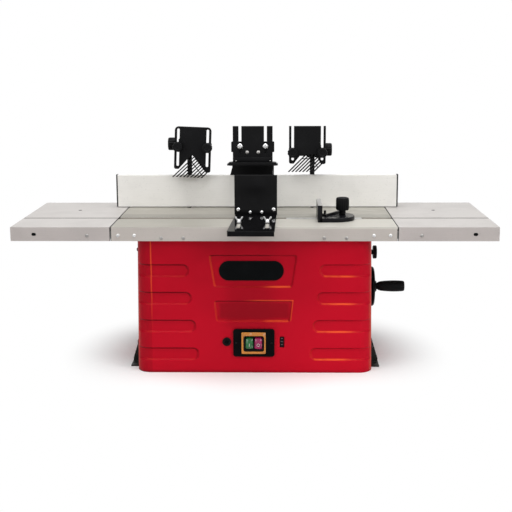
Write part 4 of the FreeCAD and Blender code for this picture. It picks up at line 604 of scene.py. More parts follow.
def screw_head(radius, height, recess, depth, at, rings=10, steps=48):
    """A domed head with a cross or six-sided recess, as a disc whose points are raised and sunk."""
    points = []
    for ring in range(rings + 1):
        out = radius * ring / rings
        rise = height * math.sqrt(1 - (ring / rings) ** 2 * 0.82)
        for u, v in disc_outline(0, 0, out, steps):
            if recess == "cross":
                inside = min(abs(u), abs(v)) < radius * 0.13 and out < radius * 0.68
            else:
                inside = six_sided(u, v) < radius * 0.45
            points.append((u, v, rise - (depth if inside else 0)))
    low = len(points)
    points += [(u, v, 0) for u, v in disc_outline(0, 0, radius, steps)]
    faces = [tuple(range(steps))] + grid_faces(rings + 2, steps)
    faces.append(tuple(range(low + steps - 1, low - 1, -1)))
    return make_mesh(points, faces, at)


def six_sided(u, v):
    """How far out a point is, counted in six-sided rings."""
    angles = (0, full_turn / 6, full_turn / 3)
    return max(abs(u * math.cos(angle) + v * math.sin(angle)) for angle in angles)


def show(name, meshes, body, slot, replaced=(), finish=None, sharp=0.7):
    """Join meshes to one piece, give it its finish, and let it ride on its body."""
    form = bmesh.new()
    for mesh in meshes:
        form.from_mesh(mesh)
        bpy.data.meshes.remove(mesh)
    bmesh.ops.recalc_face_normals(form, faces=form.faces[:])
    whole = bpy.data.meshes.new(name)
    form.to_mesh(whole)
    form.free()
    whole.shade_smooth()
    whole.set_sharp_from_angle(angle=sharp)
    whole.materials.append(finish or finishes[slot])
    thing = bpy.data.objects.new(name, whole)
    bpy.context.scene.collection.objects.link(thing)
    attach(thing, body)
    if replaced:
        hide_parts(*replaced)
    return thing


def span(node):
    """Lowest corner, highest corner and middle of a CAD node, in millimetres."""
    low, high = (Vector(corner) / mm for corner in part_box(node))
    return low, high, (low + high) / 2


# Body shell

body_high = span("body_shell")[1]
body_height = body_high.z
body_wall = 2.0
body_flange = 18.0
body_rim = 0.8
press_slope = 3.6
panel_lean = 4.0
panel_round = 2.2

# The ribs, and between which shares of a corner's bend they fade out
rib_radius = 14.5
rib_tops = (242.0, 181.0, 119.0, 56.5)
rib_inner_ends = (140.0, 135.0, 126.0, 120.0)
rib_fade_shares = (0.2, 0.95)

# How close the skin's lines lie: near a pressed edge, elsewhere, in a front corner and in a rear one
fine_step = 1.2
coarse_step = 9.0
corner_steps = 30
rear_stride = 5

# Openings in the front as left, right, bottom and top, and the slots in the rear
switch_hole = (-24.0, 22.0, 48.0, 88.0)
dial_hole = (55.3, 64.7, 57.0, 81.0)
vent_x = 90.0
vent_length = 70.0
vent_width = 5.0
vent_pitch = 14.0
vent_count = 7
vent_z = 200.0


def half_width(z):
    return (body_high.x * 2 - body_flare * z / body_height) / 2


def half_depth(z):
    return (body_high.y * 2 - body_flare * z / body_height) / 2


straight_x = half_width(body_height) - body_corner
straight_y = half_depth(body_height) - body_corner

# Up to here the front's lines stand upright, and further out they follow the flare
steady_x = 200.0


def vents():
    """The slots in the rear wall, as ranges of X and Z."""
    slots = []
    for side in (-1, 1):
        for number in range(vent_count):
            x = side * vent_x
            z = vent_z + (number - (vent_count - 1) / 2) * vent_pitch
            slots.append((x - vent_length / 2, x + vent_length / 2, z - vent_width / 2, z + vent_width / 2))
    return slots


front_holes = [switch_hole, dial_hole]
rear_holes = vents()


def spread(start, end, extras=(), zones=()):
    """Places from start to end: coarse steps, fine ones inside the zones, and extras that must be there."""
    low, high = sorted((start, end))
    places = [low]
    while places[-1] < high - fine_step / 2:
        place = places[-1]
        inside = any(zone_low <= place < zone_high for zone_low, zone_high in zones)
        ahead = min((zone_low for zone_low, zone_high in zones if zone_low > place), default=high)
        fine = place + fine_step
        places.append(fine if inside else min(place + coarse_step, max(ahead, fine)))
    places[-1] = high
    places = [place for place in places if all(abs(place - extra) > fine_step / 2 for extra in extras)]
    return sorted(set(places) | set(extras), reverse=end < start)


def around(edges, reach):
    """The stretches within reach of some edges."""
    return [(edge - reach, edge + reach) for edge in edges]


def body_columns():
    """The upright lines of the body's skin: wall, place along it, all the way round from the front left."""
    front_extras = sorted({edge for hole in front_holes for edge in hole[:2]})
    rear_extras = sorted({edge for hole in rear_holes for edge in hole[:2]})
    edges = []
    for panel in panels:
        for width in panel[2:4]:
            edges += [panel_x - width / 2, panel_x + width / 2]
    zones = around(edges, press_slope * 2)
    for end in rib_inner_ends:
        zones += [(end - 1, end + rib_radius), (-end - rib_radius, -end + 1)]
    front = spread(-straight_x, straight_x, front_extras, sorted(zones))
    side = spread(-straight_y, straight_y)
    rear = spread(straight_x, -straight_x, rear_extras)
    turns = [quarter_turn * step / corner_steps for step in range(1, corner_steps)]
    rear_turns = turns[::rear_stride]
    walls = (("front", front), ("front_right", turns), ("right", side), ("rear_right", rear_turns),
             ("rear", rear), ("rear_left", rear_turns), ("left", side[::-1]), ("front_left", turns))
    return [(wall, place) for wall, places in walls for place in places]


def skin_point(wall, place, z):
    """Where the unpressed skin is, the way out of it, and how far round it lies from the front's middle."""
    reach_x = half_width(z) - body_corner
    reach_y = half_depth(z) - body_corner
    if wall in ("front", "rear"):
        x = place
        if abs(place) > steady_x:
            grown = steady_x + (abs(place) - steady_x) * (reach_x - steady_x) / (straight_x - steady_x)
            x = math.copysign(grown, place)
        facing_y = -1 if wall == "front" else 1
        return Vector((x, facing_y * half_depth(z), z)), Vector((0, facing_y, 0)), abs(place)
    if wall in ("left", "right"):
        facing_x = -1 if wall == "left" else 1
        y = place * reach_y / straight_y
        round_way = straight_x + body_corner * quarter_turn + place + straight_y
        return Vector((facing_x * half_width(z), y, z)), Vector((facing_x, 0, 0)), round_way
    start = {"front_right": -quarter_turn, "rear_right": 0, "rear_left": quarter_turn,
             "front_left": 2 * quarter_turn}[wall]
    angle = start + place
    out = Vector((math.cos(angle), math.sin(angle), 0))
    middle = Vector((math.copysign(reach_x, out.x), math.copysign(reach_y, out.y), z))
    turn = place if wall == "front_right" else quarter_turn - place
    round_way = straight_x + body_corner * turn
    if wall.startswith("rear"):
        round_way += straight_y * 4
    return middle + out * body_corner, out, round_way


def pressed_in(share):
    """The slope of a pressed edge: 0 outside, 1 inside, smooth between."""
    share = max(0.0, min(1.0, share))
    return share * share * (3 - 2 * share)


def press(wall, place, round_way, z):
    """How deep the skin is pressed at a point."""
    depth = 0.0
    if wall.startswith("front"):
        bent = (round_way - straight_x) / (body_corner * quarter_turn)
        fade_start, fade_end = rib_fade_shares
        left_over = 1 - pressed_in((bent - fade_start) / (fade_end - fade_start))
        for top, inner_end in zip(rib_tops, rib_inner_ends):
            off = max(inner_end + rib_radius - round_way, 0)
            distance = math.hypot(off, z - top + rib_radius) - rib_radius
            depth = max(depth, press_depth * left_over * pressed_in(-distance / press_slope))
    if wall == "front":
        for top, bottom, top_width, bottom_width, panel_press in panels:
            width = bottom_width + (top_width - bottom_width) * (z - bottom) / (top - bottom)
            gaps = (z - top, bottom - z, place - panel_x - width / 2, panel_x - width / 2 - place)
            nearest = max(gaps)
            blend = sum(math.exp((gap - nearest) / panel_round) for gap in gaps)
            distance = nearest + panel_round * math.log(blend)
            lean = panel_lean * (top - z) / (top - bottom) if panel_press > press_depth else panel_lean
            depth = max(depth, (panel_press - panel_lean + lean) * pressed_in(-distance / press_slope))
    return depth


def body_rows():
    """The levels of the skin, each with how far it is drawn in: flange, wall, and flange again."""
    heights = sorted({edge for hole in front_holes + rear_holes for edge in hole[2:]})
    edges = [edge for top in rib_tops for edge in (top, top - rib_radius * 2)]
    edges += [edge for panel in panels for edge in panel[:2]]
    zones = sorted(around(edges, press_slope * 1.4))
    wall = spread(body_rim, body_height - body_rim, heights, zones)
    low = [(body_wall, body_flange), (0, body_flange), (0, body_rim)]
    high = [(body_height, body_rim), (body_height, body_flange)]
    return low + [(z, 0) for z in wall] + high


def in_hole(first, second, low, high):
    """True if the skin between two columns and two levels is open."""
    if first[0] != second[0] or first[0] not in ("front", "rear"):
        return False
    holes = front_holes if first[0] == "front" else rear_holes
    x = (first[1] + second[1]) / 2
    z = (low + high) / 2
    return any(x0 < x < x1 and z0 < z < z1 for x0, x1, z0, z1 in holes)


def body_skin():
    columns = body_columns()
    rows = body_rows()
    points = []
    for z, inset in rows:
        for wall, place in columns:
            spot, out, round_way = skin_point(wall, place, z)
            points.append(spot - out * (inset + press(wall, place, round_way, z)))
    faces = []
    count = len(columns)
    for face in grid_faces(len(rows), count):
        row, number = divmod(face[0], count)
        after = face[1] % count
        if not in_hole(columns[number], columns[after], rows[row][0], rows[row + 1][0]):
            faces.append(face)
    return make_mesh(points, faces)


def body_shell():
    shell = show("red_body", [body_skin()], "machine", "red_paint", ["body_shell"], sharp=1.0)
    wall = shell.modifiers.new("wall", "SOLIDIFY")
    wall.thickness = body_wall * mm
    wall.offset = -1.0


# Screws and bolts

# Screws in the skirts of the tables, and how far each lies below the top; the bright ones start at an X
skirt_screw_xs = (150.0, 197.0, 255.0, 290.0, 356.0)
skirt_screw_drops = (23.5, 23.5, 18.0, 18.0, 18.0)
bright_screw_x = 220.0
skirt_head_radius = 3.7
skirt_head_height = 2.5
recess_share = 0.45
table_low, table_high = span("main_table")[:2]
foot_screw_z = 40.0
foot_screw_y = 103.5
foot_screw_face = body_high.x + 3.0
top_screw_x = 414.0
top_screw_y = 56.0
top_screw_radius = 5.2
top_screw_rise = 1.0

# Screws in the side walls as side, Y and Z
wall_screw_radius = 4.0
wall_screw_height = 3.6
wall_screw_places = ((-1, -128.0, 267.0), (-1, -60.0, 95.0), (1, -60.0, 285.0), (1, -60.0, 95.0))
side_looks = {-1: "-x", 1: "+x"}

# Plugs in the holes of the extensions' skirts
plug_x = table_high.x + 165.0
plug_z = table_top - 15.5
plug_length = 10.0
plug_width = 7.0
plug_sink = 2.0
plug_round = plug_width * 0.49
plug_rim = 0.4


def small_head(radius, height, at, recess="cross"):
    return screw_head(radius, height, recess, height * recess_share, at)


def frame_screws():
    """The screws of the tables and feet: bright near the main table's ends, the others darker as painted
    shade, and the ones on top darkest as painted shade.
    """
    bright = []
    dull = []
    dark = []
    for side in (-1, 1):
        for end, look in ((-1, "-y"), (1, "+y")):
            for x, drop in zip(skirt_screw_xs, skirt_screw_drops):
                at = facing(look, (side * x, end * table_high.y, table_top - drop))
                heads = bright if bright_screw_x < x < table_high.x else dull
                heads.append(small_head(skirt_head_radius, skirt_head_height, at))
            at = facing(side_looks[side], (side * foot_screw_face, end * foot_screw_y, foot_screw_z))
            dull.append(small_head(skirt_head_radius, skirt_head_height, at, "six"))
        at = facing("+z", (side * top_screw_x, top_screw_y, table_top + top_screw_rise - skirt_head_height))
        dark.append(small_head(top_screw_radius, skirt_head_height, at))
    show("skirt_screws", bright, "machine", "zinc_steel", ["frame_screws"])
    show("shaded_frame_screws", dull, "machine", "zinc_steel", ["frame_screws"], shaded_screw)
    show("top_screws", dark, "machine", "zinc_steel", ["frame_screws"], shade_dark_screw)


def skirt_plugs():
    """The black ovals in the holes near the ends of the skirts."""
    plugs = []
    for side in (-1, 1):
        for look, y in (("-y", table_low.y + plug_sink), ("+y", table_high.y - plug_sink)):
            middle = side * plug_x
            outline = box_outline(middle - plug_length / 2, middle + plug_length / 2,
                                  plug_z - plug_width / 2, plug_z + plug_width / 2, plug_round)
            plugs.append(plate([outline], plug_sink, plug_rim, facing(look, (0, y, 0))))
    show("skirt_hole_plugs", plugs, "machine", "black_plastic", (), deep_black)


def wall_screws():
    """Small screws in the body's side walls that hold the parts inside."""
    heads = []
    for side, y, z in wall_screw_places:
        at = facing(side_looks[side], (side * half_width(z), y, z))
        heads.append(small_head(wall_screw_radius, wall_screw_height, at))
    # Their near-black metal is painted shade
    show("wall_screws", heads, "machine", "zinc_steel", (), shade_dark_screw)


# Knobs

def fluted_knob(radius, length, at, flutes=14, flute_depth=1.1):
    """A moulded knob along its own Z: chamfered foot, fluted side and a domed top with a shallow dish."""
    edge = length * 0.1
    dish = length - edge * 0.4
    profile = ((0, radius * 0.6), (0, radius * 0.9), (edge, radius, 1), (length - edge * 2.4, radius, 1),
               (length - edge, radius * 0.97, 0.7), (length - edge * 0.25, radius * 0.9),
               (length, radius * 0.78), (length, radius * 0.56),
               (dish, radius * 0.5), (dish, radius * 0.05))
    return lathe(profile, at, flutes * 8, flutes, flute_depth)


def stud(radius, low, high, at):
    """A plain round bar along its own Z, with chamfered ends."""
    cham = radius * 0.15
    profile = ((low, radius - cham), (low + cham, radius), (high - cham, radius), (high, radius - cham))
    return lathe(profile, at, 24)


def bolt(at, radius, height, depth, shank, length):
    """A head with a six-sided recess, and the shank behind it."""
    return [screw_head(radius, height, "six", depth, at), stud(shank, -length, 0, at)]


def clamp_knob(name, node, body, look, radius, length, flutes, shafts, step=None, flute_depth=1.1):
    """A knob on its shaft, along the axis that it looks, in its node's box.

    The shafts are the shaft's radii, from the knob on. They change at a step, which is counted back from
    the knob, or from the shaft's far end where it is above 0.
    """
    low, high, foot = span(node)
    axis = "xyz".index(look[1])
    foot[axis] = high[axis] - length if look[0] == "+" else low[axis] + length
    at = facing(look, foot)
    far = length - (high - low)[axis]
    stops = [0, far]
    if step:
        stops = [0, far + step if step > 0 else step, far]
    pieces = [fluted_knob(radius, length, at, flutes, flute_depth)]
    for shaft, start, end in zip(shafts, stops, stops[1:]):
        pieces.append(stud(shaft, end, start, at))
    show(name, pieces, body, "black_plastic", [node])


def clamp_knobs():
    """The knobs of the fence clamps, the comb posts, the mitre gauge and the spindle lock."""
    for side in ("left", "right"):
        clamp_knob(side + "_fence_clamp", side + "_fence_knob", side + "_clamp", "+z",
                   radius=12.0, length=18.0, flutes=14, shafts=(4.0, 7.0), step=7.0)
    for side, look in (("left", "-x"), ("right", "+x")):
        clamp_knob(side + "_post_clamp", side + "_post_knob", side + "_side_knob", look,
                   radius=15.2, length=16.5, flutes=16, shafts=(4.0,))
    clamp_knob("mitre_clamp_knob", "mitre_knob", "mitre_clamp", "+z",
               radius=14.7, length=27.8, flutes=18, shafts=(7.3, 3.0), step=-9.0)
    clamp_knob("spindle_lock", "lock_knob", "lock", "+x",
               radius=16.0, length=9.0, flutes=10, shafts=(6.0, 4.0), step=-20.0, flute_depth=1.6)


# Handwheel and grip: profiles as places along the axle and radii, the grip's as shares of its length

wheel_radius = 41.5
wheel_rim = 5.0
wheel_rim_steps = 16
wheel_web = ((-2.5, 39.5), (-1.0, 33.0), (0.2, 20.0), (0.2, 13.0), (4.0, 13.0), (4.0, 20.0), (3.0, 33.0),
             (1.5, 39.5))
wheel_hub = ((0, 11.5), (1.0, 13.0), (14.5, 13.0), (16.0, 11.5), (16.0, 6.2), (15.0, 5.4))
grip_bolt_radius = 3.0
grip_head_radius = 5.0
grip_head_height = 2.4
grip_profile = ((0, 6.2), (0.01, 7.0), (0.05, 7.1), (0.09, 8.6), (0.14, 10.2), (0.2, 11.2), (0.32, 12.0),
                (0.46, 12.6), (0.6, 13.0), (0.75, 12.9), (0.88, 12.5), (0.95, 12.0), (0.985, 11.2),
                (1.0, 10.0), (1.0, 5.6), (0.96, 5.4), (0.96, 3.3))


def handwheel():
    low, high, middle = span("handwheel")
    grip = span("crank_grip")[2]
    rim_x = low.x + wheel_rim
    rim = []
    for step in range(wheel_rim_steps + 1):
        angle = full_turn * step / wheel_rim_steps
        rim.append((rim_x + wheel_rim * math.sin(angle), wheel_radius - wheel_rim * math.cos(angle)))
    web = [(rim_x + out, radius) for out, radius in wheel_web]
    hub = [(low.x + out, radius) for out, radius in wheel_hub]
    at = facing("+x", (0, middle.y, middle.z))
    meshes = [lathe(rim, at, 72), lathe(web, at, 72), lathe(hub, at, 48)]
    head_x = high.x - grip_head_height
    meshes.append(stud(grip_bolt_radius, rim_x, head_x, facing("+x", (0, grip.y, grip.z))))
    head = facing("+x", (head_x, grip.y, grip.z))
    meshes.append(screw_head(grip_head_radius, grip_head_height, "six", grip_head_height / 2, head))
    show("crank_wheel", meshes, "crank", "black_gloss", ["handwheel"])


def crank_grip():
    low, high, middle = span("crank_grip")
    profile = [(low.x + (high.x - low.x) * share, radius) for share, radius in grip_profile]
    at = facing("+x", (0, middle.y, middle.z))
    show("turning_grip", [lathe(profile, at, 40)], "grip", "black_plastic", ["crank_grip"])


# Feather combs and their holders

comb_width = 86.0
comb_foot_width = 11.0
comb_slot_half = 3.0
comb_slot_offset = 34.5
comb_slot_round = comb_slot_half * 0.98
comb_rim = 0.7
comb_foot_round = 4.5
comb_notch_round = 2.0
comb_top_round = 9.0
comb_end_round = 0.6

# The fingers, how far each is sunk in the plate, and the thin tie across them below the plate
finger_most = 10
finger_pitch = 8.4
finger_across = 2.8
finger_root = 2.5
finger_round = 0.3
finger_rim = 0.4
tie_drop = 9.0
tie_width = 1.7
tie_share = 0.6

# The left comb's lean in degrees and the point that it turns about, and the two posts
left_lean = 2.4
left_pin = (-150.0, 0, 445.0)
post_xs = (-160.5, 133.0)
post_half = 5.5
post_fit = 0.3
post_rim = 0.8

# A holder's bar, its knobs, and its block, whose walls stand round the hole for the post
holder_bar_y = (87.3, 101.3)
holder_bar_half_length = 43.5
holder_bar_half_height = 9.0
holder_bar_rim = 1.2
holder_knob_y = 81.7
holder_knob_radius = 12.0
holder_knob_length = 16.0
holder_knob_flutes = 12
holder_flute_depth = 0.9
holder_stud_length = 19.6
holder_hole_y = (124.3, 133.9)
holder_block_out = 32.5
holder_block_in = 14.0
holder_block_half_height = 15.0
holder_block_rim = 1.5
holder_wall_overlap = 4.0

# Thin enough for the left comb, which leans in its holder, to slide without touching
holder_stud_radius = 1.2


def finger_reach(x, tip, apex_xs, apex, inner, right_foot):
    """How far a finger runs up and to the right from its tip before it meets the plate."""
    reach = apex - tip
    if x + reach > apex_xs[1]:
        slope = (apex - right_foot) / (inner - apex_xs[1])
        reach = (apex + slope * (apex_xs[1] - x) - tip) / (1 + slope)
    if x + reach > inner:
        reach = right_foot - tip
    return reach


def comb(side, left, top, feet, apex_xs, apex, slots, tip, finger_start, leaning):
    """A comb: plate with two slots and a notched foot, slanting fingers, and a thin tie across them."""
    low, high, middle = span(side + "_comb")
    thickness = high.y - low.y
    at = leaning @ facing("-y", (0, middle.y, 0))
    right = left + comb_width
    inner = right - comb_foot_width
    middle_x = (left + right) / 2
    slot_xs = (middle_x - comb_slot_offset, middle_x + comb_slot_offset)
    points = [(left, feet[0]), (left + comb_foot_width, feet[0]), (apex_xs[0], apex), (apex_xs[1], apex),
              (inner, feet[1]), (right, feet[1])]
    radii = [comb_foot_round] + [comb_notch_round] * 4 + [comb_foot_round]
    outlines = []
    if slots[1] < top:
        points += [(right, top), (left, top)]
        radii += [comb_top_round, comb_top_round]
        for x in slot_xs:
            outlines.append(box_outline(x - comb_slot_half, x + comb_slot_half, *slots, comb_slot_half))
    else:
        upper, upper_radii = slotted_top(left, right, top, slot_xs, slots[0], comb_slot_half,
                                         comb_slot_round, comb_end_round)
        points += upper
        radii += upper_radii
    meshes = [plate([soft_corners(points, radii)] + outlines, thickness, comb_rim, at)]
    tie = []
    across = finger_across * math.sqrt(2)
    for number in range(finger_most):
        x = finger_start + number * finger_pitch
        reach = finger_reach(x, tip, apex_xs, apex, inner, feet[1])
        if x + reach > right - across:
            break
        back = max(0.0, reach - tie_drop)
        tie.append((x + across / 2 + back, tip + back))
        reach += finger_root
        finger = ((x, tip), (x + across, tip), (x + across + reach, tip + reach), (x + reach, tip + reach))
        meshes.append(plate([soft_corners(finger, finger_round, 2)], thickness, finger_rim, at))
    for first, second in zip(tie, tie[1:]):
        meshes.append(bridge(first, second, tie_width, thickness * tie_share, at))
    show(side + "_feather_comb", meshes, side + "_feather", "black_plastic", [side + "_comb"])


def comb_holder(side, middle_x, knob_z, block_z, post_x, leaning):
    """The holder: bar behind the comb, block round the post in four walls, studs and two front knobs."""
    node = side + "_comb_holder"
    outward = -1 if side == "left" else 1
    bar_front, bar_back = holder_bar_y
    leaners = [soft_block((middle_x - holder_bar_half_length, bar_front, knob_z - holder_bar_half_height),
                          (middle_x + holder_bar_half_length, bar_back, knob_z + holder_bar_half_height),
                          holder_bar_rim)]
    for offset in (-comb_slot_offset, comb_slot_offset):
        at = facing("-y", (middle_x + offset, holder_knob_y, knob_z))
        leaners.append(fluted_knob(holder_knob_radius, holder_knob_length, at, holder_knob_flutes,
                                   holder_flute_depth))
        leaners.append(stud(holder_stud_radius, -holder_stud_length, 0, at))
    for mesh in leaners:
        mesh.transform(leaning)
    x0, x1 = sorted((middle_x + outward * holder_block_out, post_x - outward * holder_block_in))
    hole = post_half + post_fit
    hole_front, hole_back = holder_hole_y
    beside = (hole_front - holder_wall_overlap, hole_back + holder_wall_overlap)
    walls = []
    for start, end, (front, back) in ((x0, x1, (bar_front, hole_front)),
                                      (x0, x1, (hole_back, span(node)[1].y)),
                                      (x0, post_x - hole, beside),
                                      (post_x + hole, x1, beside)):
        walls.append(soft_block((start, front, block_z - holder_block_half_height),
                                (end, back, block_z + holder_block_half_height), holder_block_rim))
    show(side + "_holder_block", leaners + walls, side + "_holder", "black_plastic", [node])


def posts():
    """The two square posts that the comb holders slide on, with soft edges."""
    low, high = span("comb_posts")[:2]
    bars = []
    for x in post_xs:
        bars.append(soft_block((x - post_half, low.y, low.z), (x + post_half, high.y, high.z), post_rim))
    show("comb_uprights", bars, "fence", "black_paint", ["comb_posts"])


def combs():
    """Both comb units. In the photograph the left one leans a little to the right."""
    pin = Matrix.Translation(Vector(left_pin) * mm)
    leaning = pin @ Matrix.Rotation(math.radians(left_lean), 4, "Y") @ pin.inverted()
    upright = Matrix.Identity(4)
    comb("left", left=-193.0, top=518.0, feet=(418.0, 412.0), apex_xs=(-154.0, -149.5), apex=451.0,
         slots=(425.0, 513.0), tip=399.0, finger_start=-197.0, leaning=leaning)
    comb("right", left=77.0, top=519.5, feet=(431.5, 430.5), apex_xs=(104.0, 140.0), apex=452.0,
         slots=(439.0, 600.0), tip=412.0, finger_start=74.0, leaning=upright)
    comb_holder("left", middle_x=-150.0, knob_z=471.0, block_z=474.5, post_x=post_xs[0], leaning=leaning)
    comb_holder("right", middle_x=120.0, knob_z=458.0, block_z=460.5, post_x=post_xs[1], leaning=upright)


# Centre pressure unit: its small screws are given as X, how far forward, Z, radius, height and recess

plate_slot_offset = 30.0
plate_slot_half = 3.3
plate_slot_round = 3.2
plate_slot_low = 455.0
plate_end_round = 0.8
plate_foot_round = 1.0
plate_rim = 0.5
plate_bolt_y = 97.4
plate_bolt_z = 471.0
plate_bolt_hole = 3.6
plate_screws = ((-21.6, 0, 456.5, 4.4, 3.2, 0.9), (4.7, 0, 456.5, 4.4, 3.2, 0.9),
                (-48.0, 3.0, 437.0, 1.5, 1.0, 0.3), (33.0, 3.0, 437.0, 1.5, 1.0, 0.3))
sole_sheet = 3.0
sole_taper = (9.0, 6.0)
sole_rounds = (4.0, 6.0, 6.0, 4.0, 1.0, 1.0)
shoe_half = 47.0
shoe_lip_half = 50.0
shoe_lip_height = 7.5
hook_end = 59.5
hook_length = 13.0
hook_depth = 20.0
hook_back = 18.0
hook_rounds = (1.2, 2.5, 0.5, 0.5)
bracket_half = 47.0
bracket_foot_left = 54.0
bracket_gusset_z = 428.0
bracket_ear_z = 457.0
bracket_sheet = 4.0
bracket_rounds = (0.8, 0.8, 1.0, 1.5, 2.5, 2.5, 1.5, 1.0, 2.0)


def pressure_unit():
    low, high, middle = span("slotted_plate")
    slot_xs = (middle.x - plate_slot_offset, middle.x + plate_slot_offset)
    upper, upper_radii = slotted_top(low.x, high.x, high.z, slot_xs, plate_slot_low, plate_slot_half,
                                     plate_slot_round, plate_end_round)
    outline = soft_corners([(low.x, low.z), (high.x, low.z)] + upper, [plate_foot_round] * 2 + upper_radii)
    sheet = plate([outline], high.y - low.y, plate_rim, facing("-y", (0, middle.y, 0)))
    show("sliding_plate", [sheet], "pressure", "black_paint", ["slotted_plate"])
    heads = []
    for x in slot_xs:
        at = facing("-y", (x, plate_bolt_y, plate_bolt_z))
        heads += bolt(at, radius=7.0, height=6.0, depth=2.2, shank=3.0, length=8.6)
    show("plate_bolts", heads, "fence", "zinc_steel", ["pressure_bolts"])
    small = []
    for x, forward, z, radius, height, recess in plate_screws:
        small.append(screw_head(radius, height, "cross", recess, facing("-y", (x, low.y - forward, z))))
    # The small screws take the darker copy of the metal, as painted shade
    show("shoe_screws", small, "pressure", "zinc_steel", (), shaded_screw)
    shoe()
    bracket()


def shoe():
    """The pressure shoe: a sole with tapered, hooked ends and a flange against the plate."""
    low, high, middle = span("pressure_shoe")
    in_x, in_y = sole_taper
    edge = ((low.x, low.y + in_y), (low.x + in_x, low.y), (high.x - in_x, low.y), (high.x, low.y + in_y),
            (high.x, high.y), (low.x, high.y))
    at = facing("+z", (0, 0, low.z + sole_sheet / 2))
    sole = plate([soft_corners(edge, sole_rounds)], sole_sheet, 0.6, at)
    flange = soft_block((middle.x - shoe_half, high.y - sole_sheet, low.z),
                        (middle.x + shoe_half, high.y, high.z), 0.7)
    front = soft_block((middle.x - shoe_lip_half, low.y, low.z),
                       (middle.x + shoe_lip_half, low.y + sole_sheet, low.z + shoe_lip_height), 0.8)
    hooks = []
    for side in (-1, 1):
        end = middle.x + side * hook_end
        inner = end - side * hook_length
        points = ((end, low.z), (end - side * 4.5, low.z + 6.8), (inner, low.z + 7.6), (inner, low.z))
        outline = soft_corners(points, hook_rounds, 4)
        hooks.append(plate([outline], hook_depth, 0.5, facing("-y", (0, low.y + hook_back, 0))))
    show("hold_down_shoe", [sole, flange, front] + hooks, "pressure", "black_paint", ["pressure_shoe"])


def bracket():
    """The bracket on the hood, with its ears, foot and a slanting gusset on the left."""
    low, high, middle = span("centre_bracket")
    left = middle.x - bracket_half
    right = middle.x + bracket_half
    edge = ((middle.x - bracket_foot_left, low.z), (right, low.z), (right, bracket_ear_z),
            (high.x, bracket_ear_z), (high.x, high.z), (low.x, high.z), (low.x, bracket_ear_z),
            (left, bracket_ear_z), (left, bracket_gusset_z))
    outlines = [soft_corners(edge, bracket_rounds, 4)]
    for offset in (-plate_slot_offset, plate_slot_offset):
        outlines.append(disc_outline(middle.x + offset, plate_bolt_z, plate_bolt_hole, 24))
    upright = plate(outlines, bracket_sheet, 0.6, facing("-y", (0, low.y + bracket_sheet / 2, 0)))
    foot = soft_block((left, low.y + 1.0, low.z), (right, high.y, low.z + bracket_sheet), 0.8)
    show("hood_bracket", [upright, foot], "fence", "black_paint", ["centre_bracket"])


# Front guard

# How much wider than its flange the shield is in the photograph
shield_over_left = 2.0
shield_over_right = 1.0

# The shield's creases as Z and how far back it lies there, its bolts as X, Z and radius, its foot's slots
shield_creases = ((341.0, 0), (342.5, 0.5), (385.0, 0.5), (387.0, 0.1))
shield_bolts = ((-38.5, 339.5, 4.5), (41.5, 339.5, 4.5), (-11.5, 333.5, 3.8), (14.5, 333.5, 3.8))
guard_sheet = 2.0
guard_sole_z = table_top + 1.2
guard_slot_half = 3.7
guard_slot_round = 3.65
guard_slot_y = (-204.0, -128.0)
wing_xs = (-33.0, 28.5)

# A wing bolt's hub as height and radius, and one arm as reach, height and corner radius
wing_hub_low = table_top + 2.5
wing_hub = ((0, 3.6), (0, 4.6), (1.5, 4.6), (3.0, 4.2), (6.5, 3.6), (7.5, 2.6), (7.5, 0.4))
wing_arm = ((1.0, 3.0, 0.3), (4.5, 3.6, 1.5), (8.6, 9.4, 1.6), (9.4, 13.4, 1.5), (6.2, 13.6, 1.5),
            (3.4, 8.4, 1.2), (1.0, 7.0, 0.3))
wing_shank_radius = 3.0
wing_thickness = 3.0
wing_rim = 1.1


def guard():
    """The upright shield, creased across and leaning back a little at its top, with its bolts."""
    low, high = span("guard_plate")[:2]
    left = low.x - shield_over_left
    right = high.x + shield_over_right
    rows = ((low.z, 0), *shield_creases, (high.z - 1.0, 1.2), (high.z, 2.0))
    front = [(x, low.y + lean, z) for z, lean in rows for x in (left, right)]
    sheet = make_mesh(front, grid_faces(len(rows), 2, False))
    paint = finishes["black_paint"]
    thing = show("guard_shield", [sheet], "guard", "black_gloss", ["guard_plate"], paint, sharp=0.2)
    wall = thing.modifiers.new("sheet", "SOLIDIFY")
    wall.thickness = (high.y - low.y) * mm
    wall.offset = 1.0 if thing.data.polygons[0].normal.y > 0 else -1.0
    soft = thing.modifiers.new("rim", "BEVEL")
    soft.width = 0.5 * mm
    soft.segments = 2
    heads = []
    for x, z, radius in shield_bolts:
        heads += bolt(facing("-y", (x, low.y, z)), radius, height=3.5, depth=1.0, shank=2.5, length=4.0)
    show("guard_bolt_heads", heads, "guard", "zinc_steel", ["guard_bolts"])
    guard_foot()


def guard_foot():
    """The foot on the table: wider at its front, with two slots, a lip and the flange of the shield."""
    low, high = span("guard_foot")[:2]
    shield_low, shield_high = span("guard_plate")[:2]
    edge = ((low.x, low.y), (high.x, low.y), (shield_high.x, high.y), (shield_low.x, high.y))
    outlines = [soft_corners(edge, (5.0, 5.0, 1.0, 1.0))]
    for x in wing_xs:
        slot = box_outline(x - guard_slot_half, x + guard_slot_half, *guard_slot_y, guard_slot_round)
        outlines.append(slot)
    sole = plate(outlines, guard_sheet, 0.5, facing("+z", (0, 0, guard_sole_z)))
    lip = soft_block((low.x + 1.0, low.y, low.z), (high.x - 1.0, low.y + guard_sheet, table_top + 1.5), 0.5)
    flange = soft_block((shield_low.x, high.y - guard_sheet, table_top + 0.4),
                        (shield_high.x, high.y, high.z), 0.5)
    show("guard_base", [sole, lip, flange], "guard", "black_gloss", ["guard_foot"])


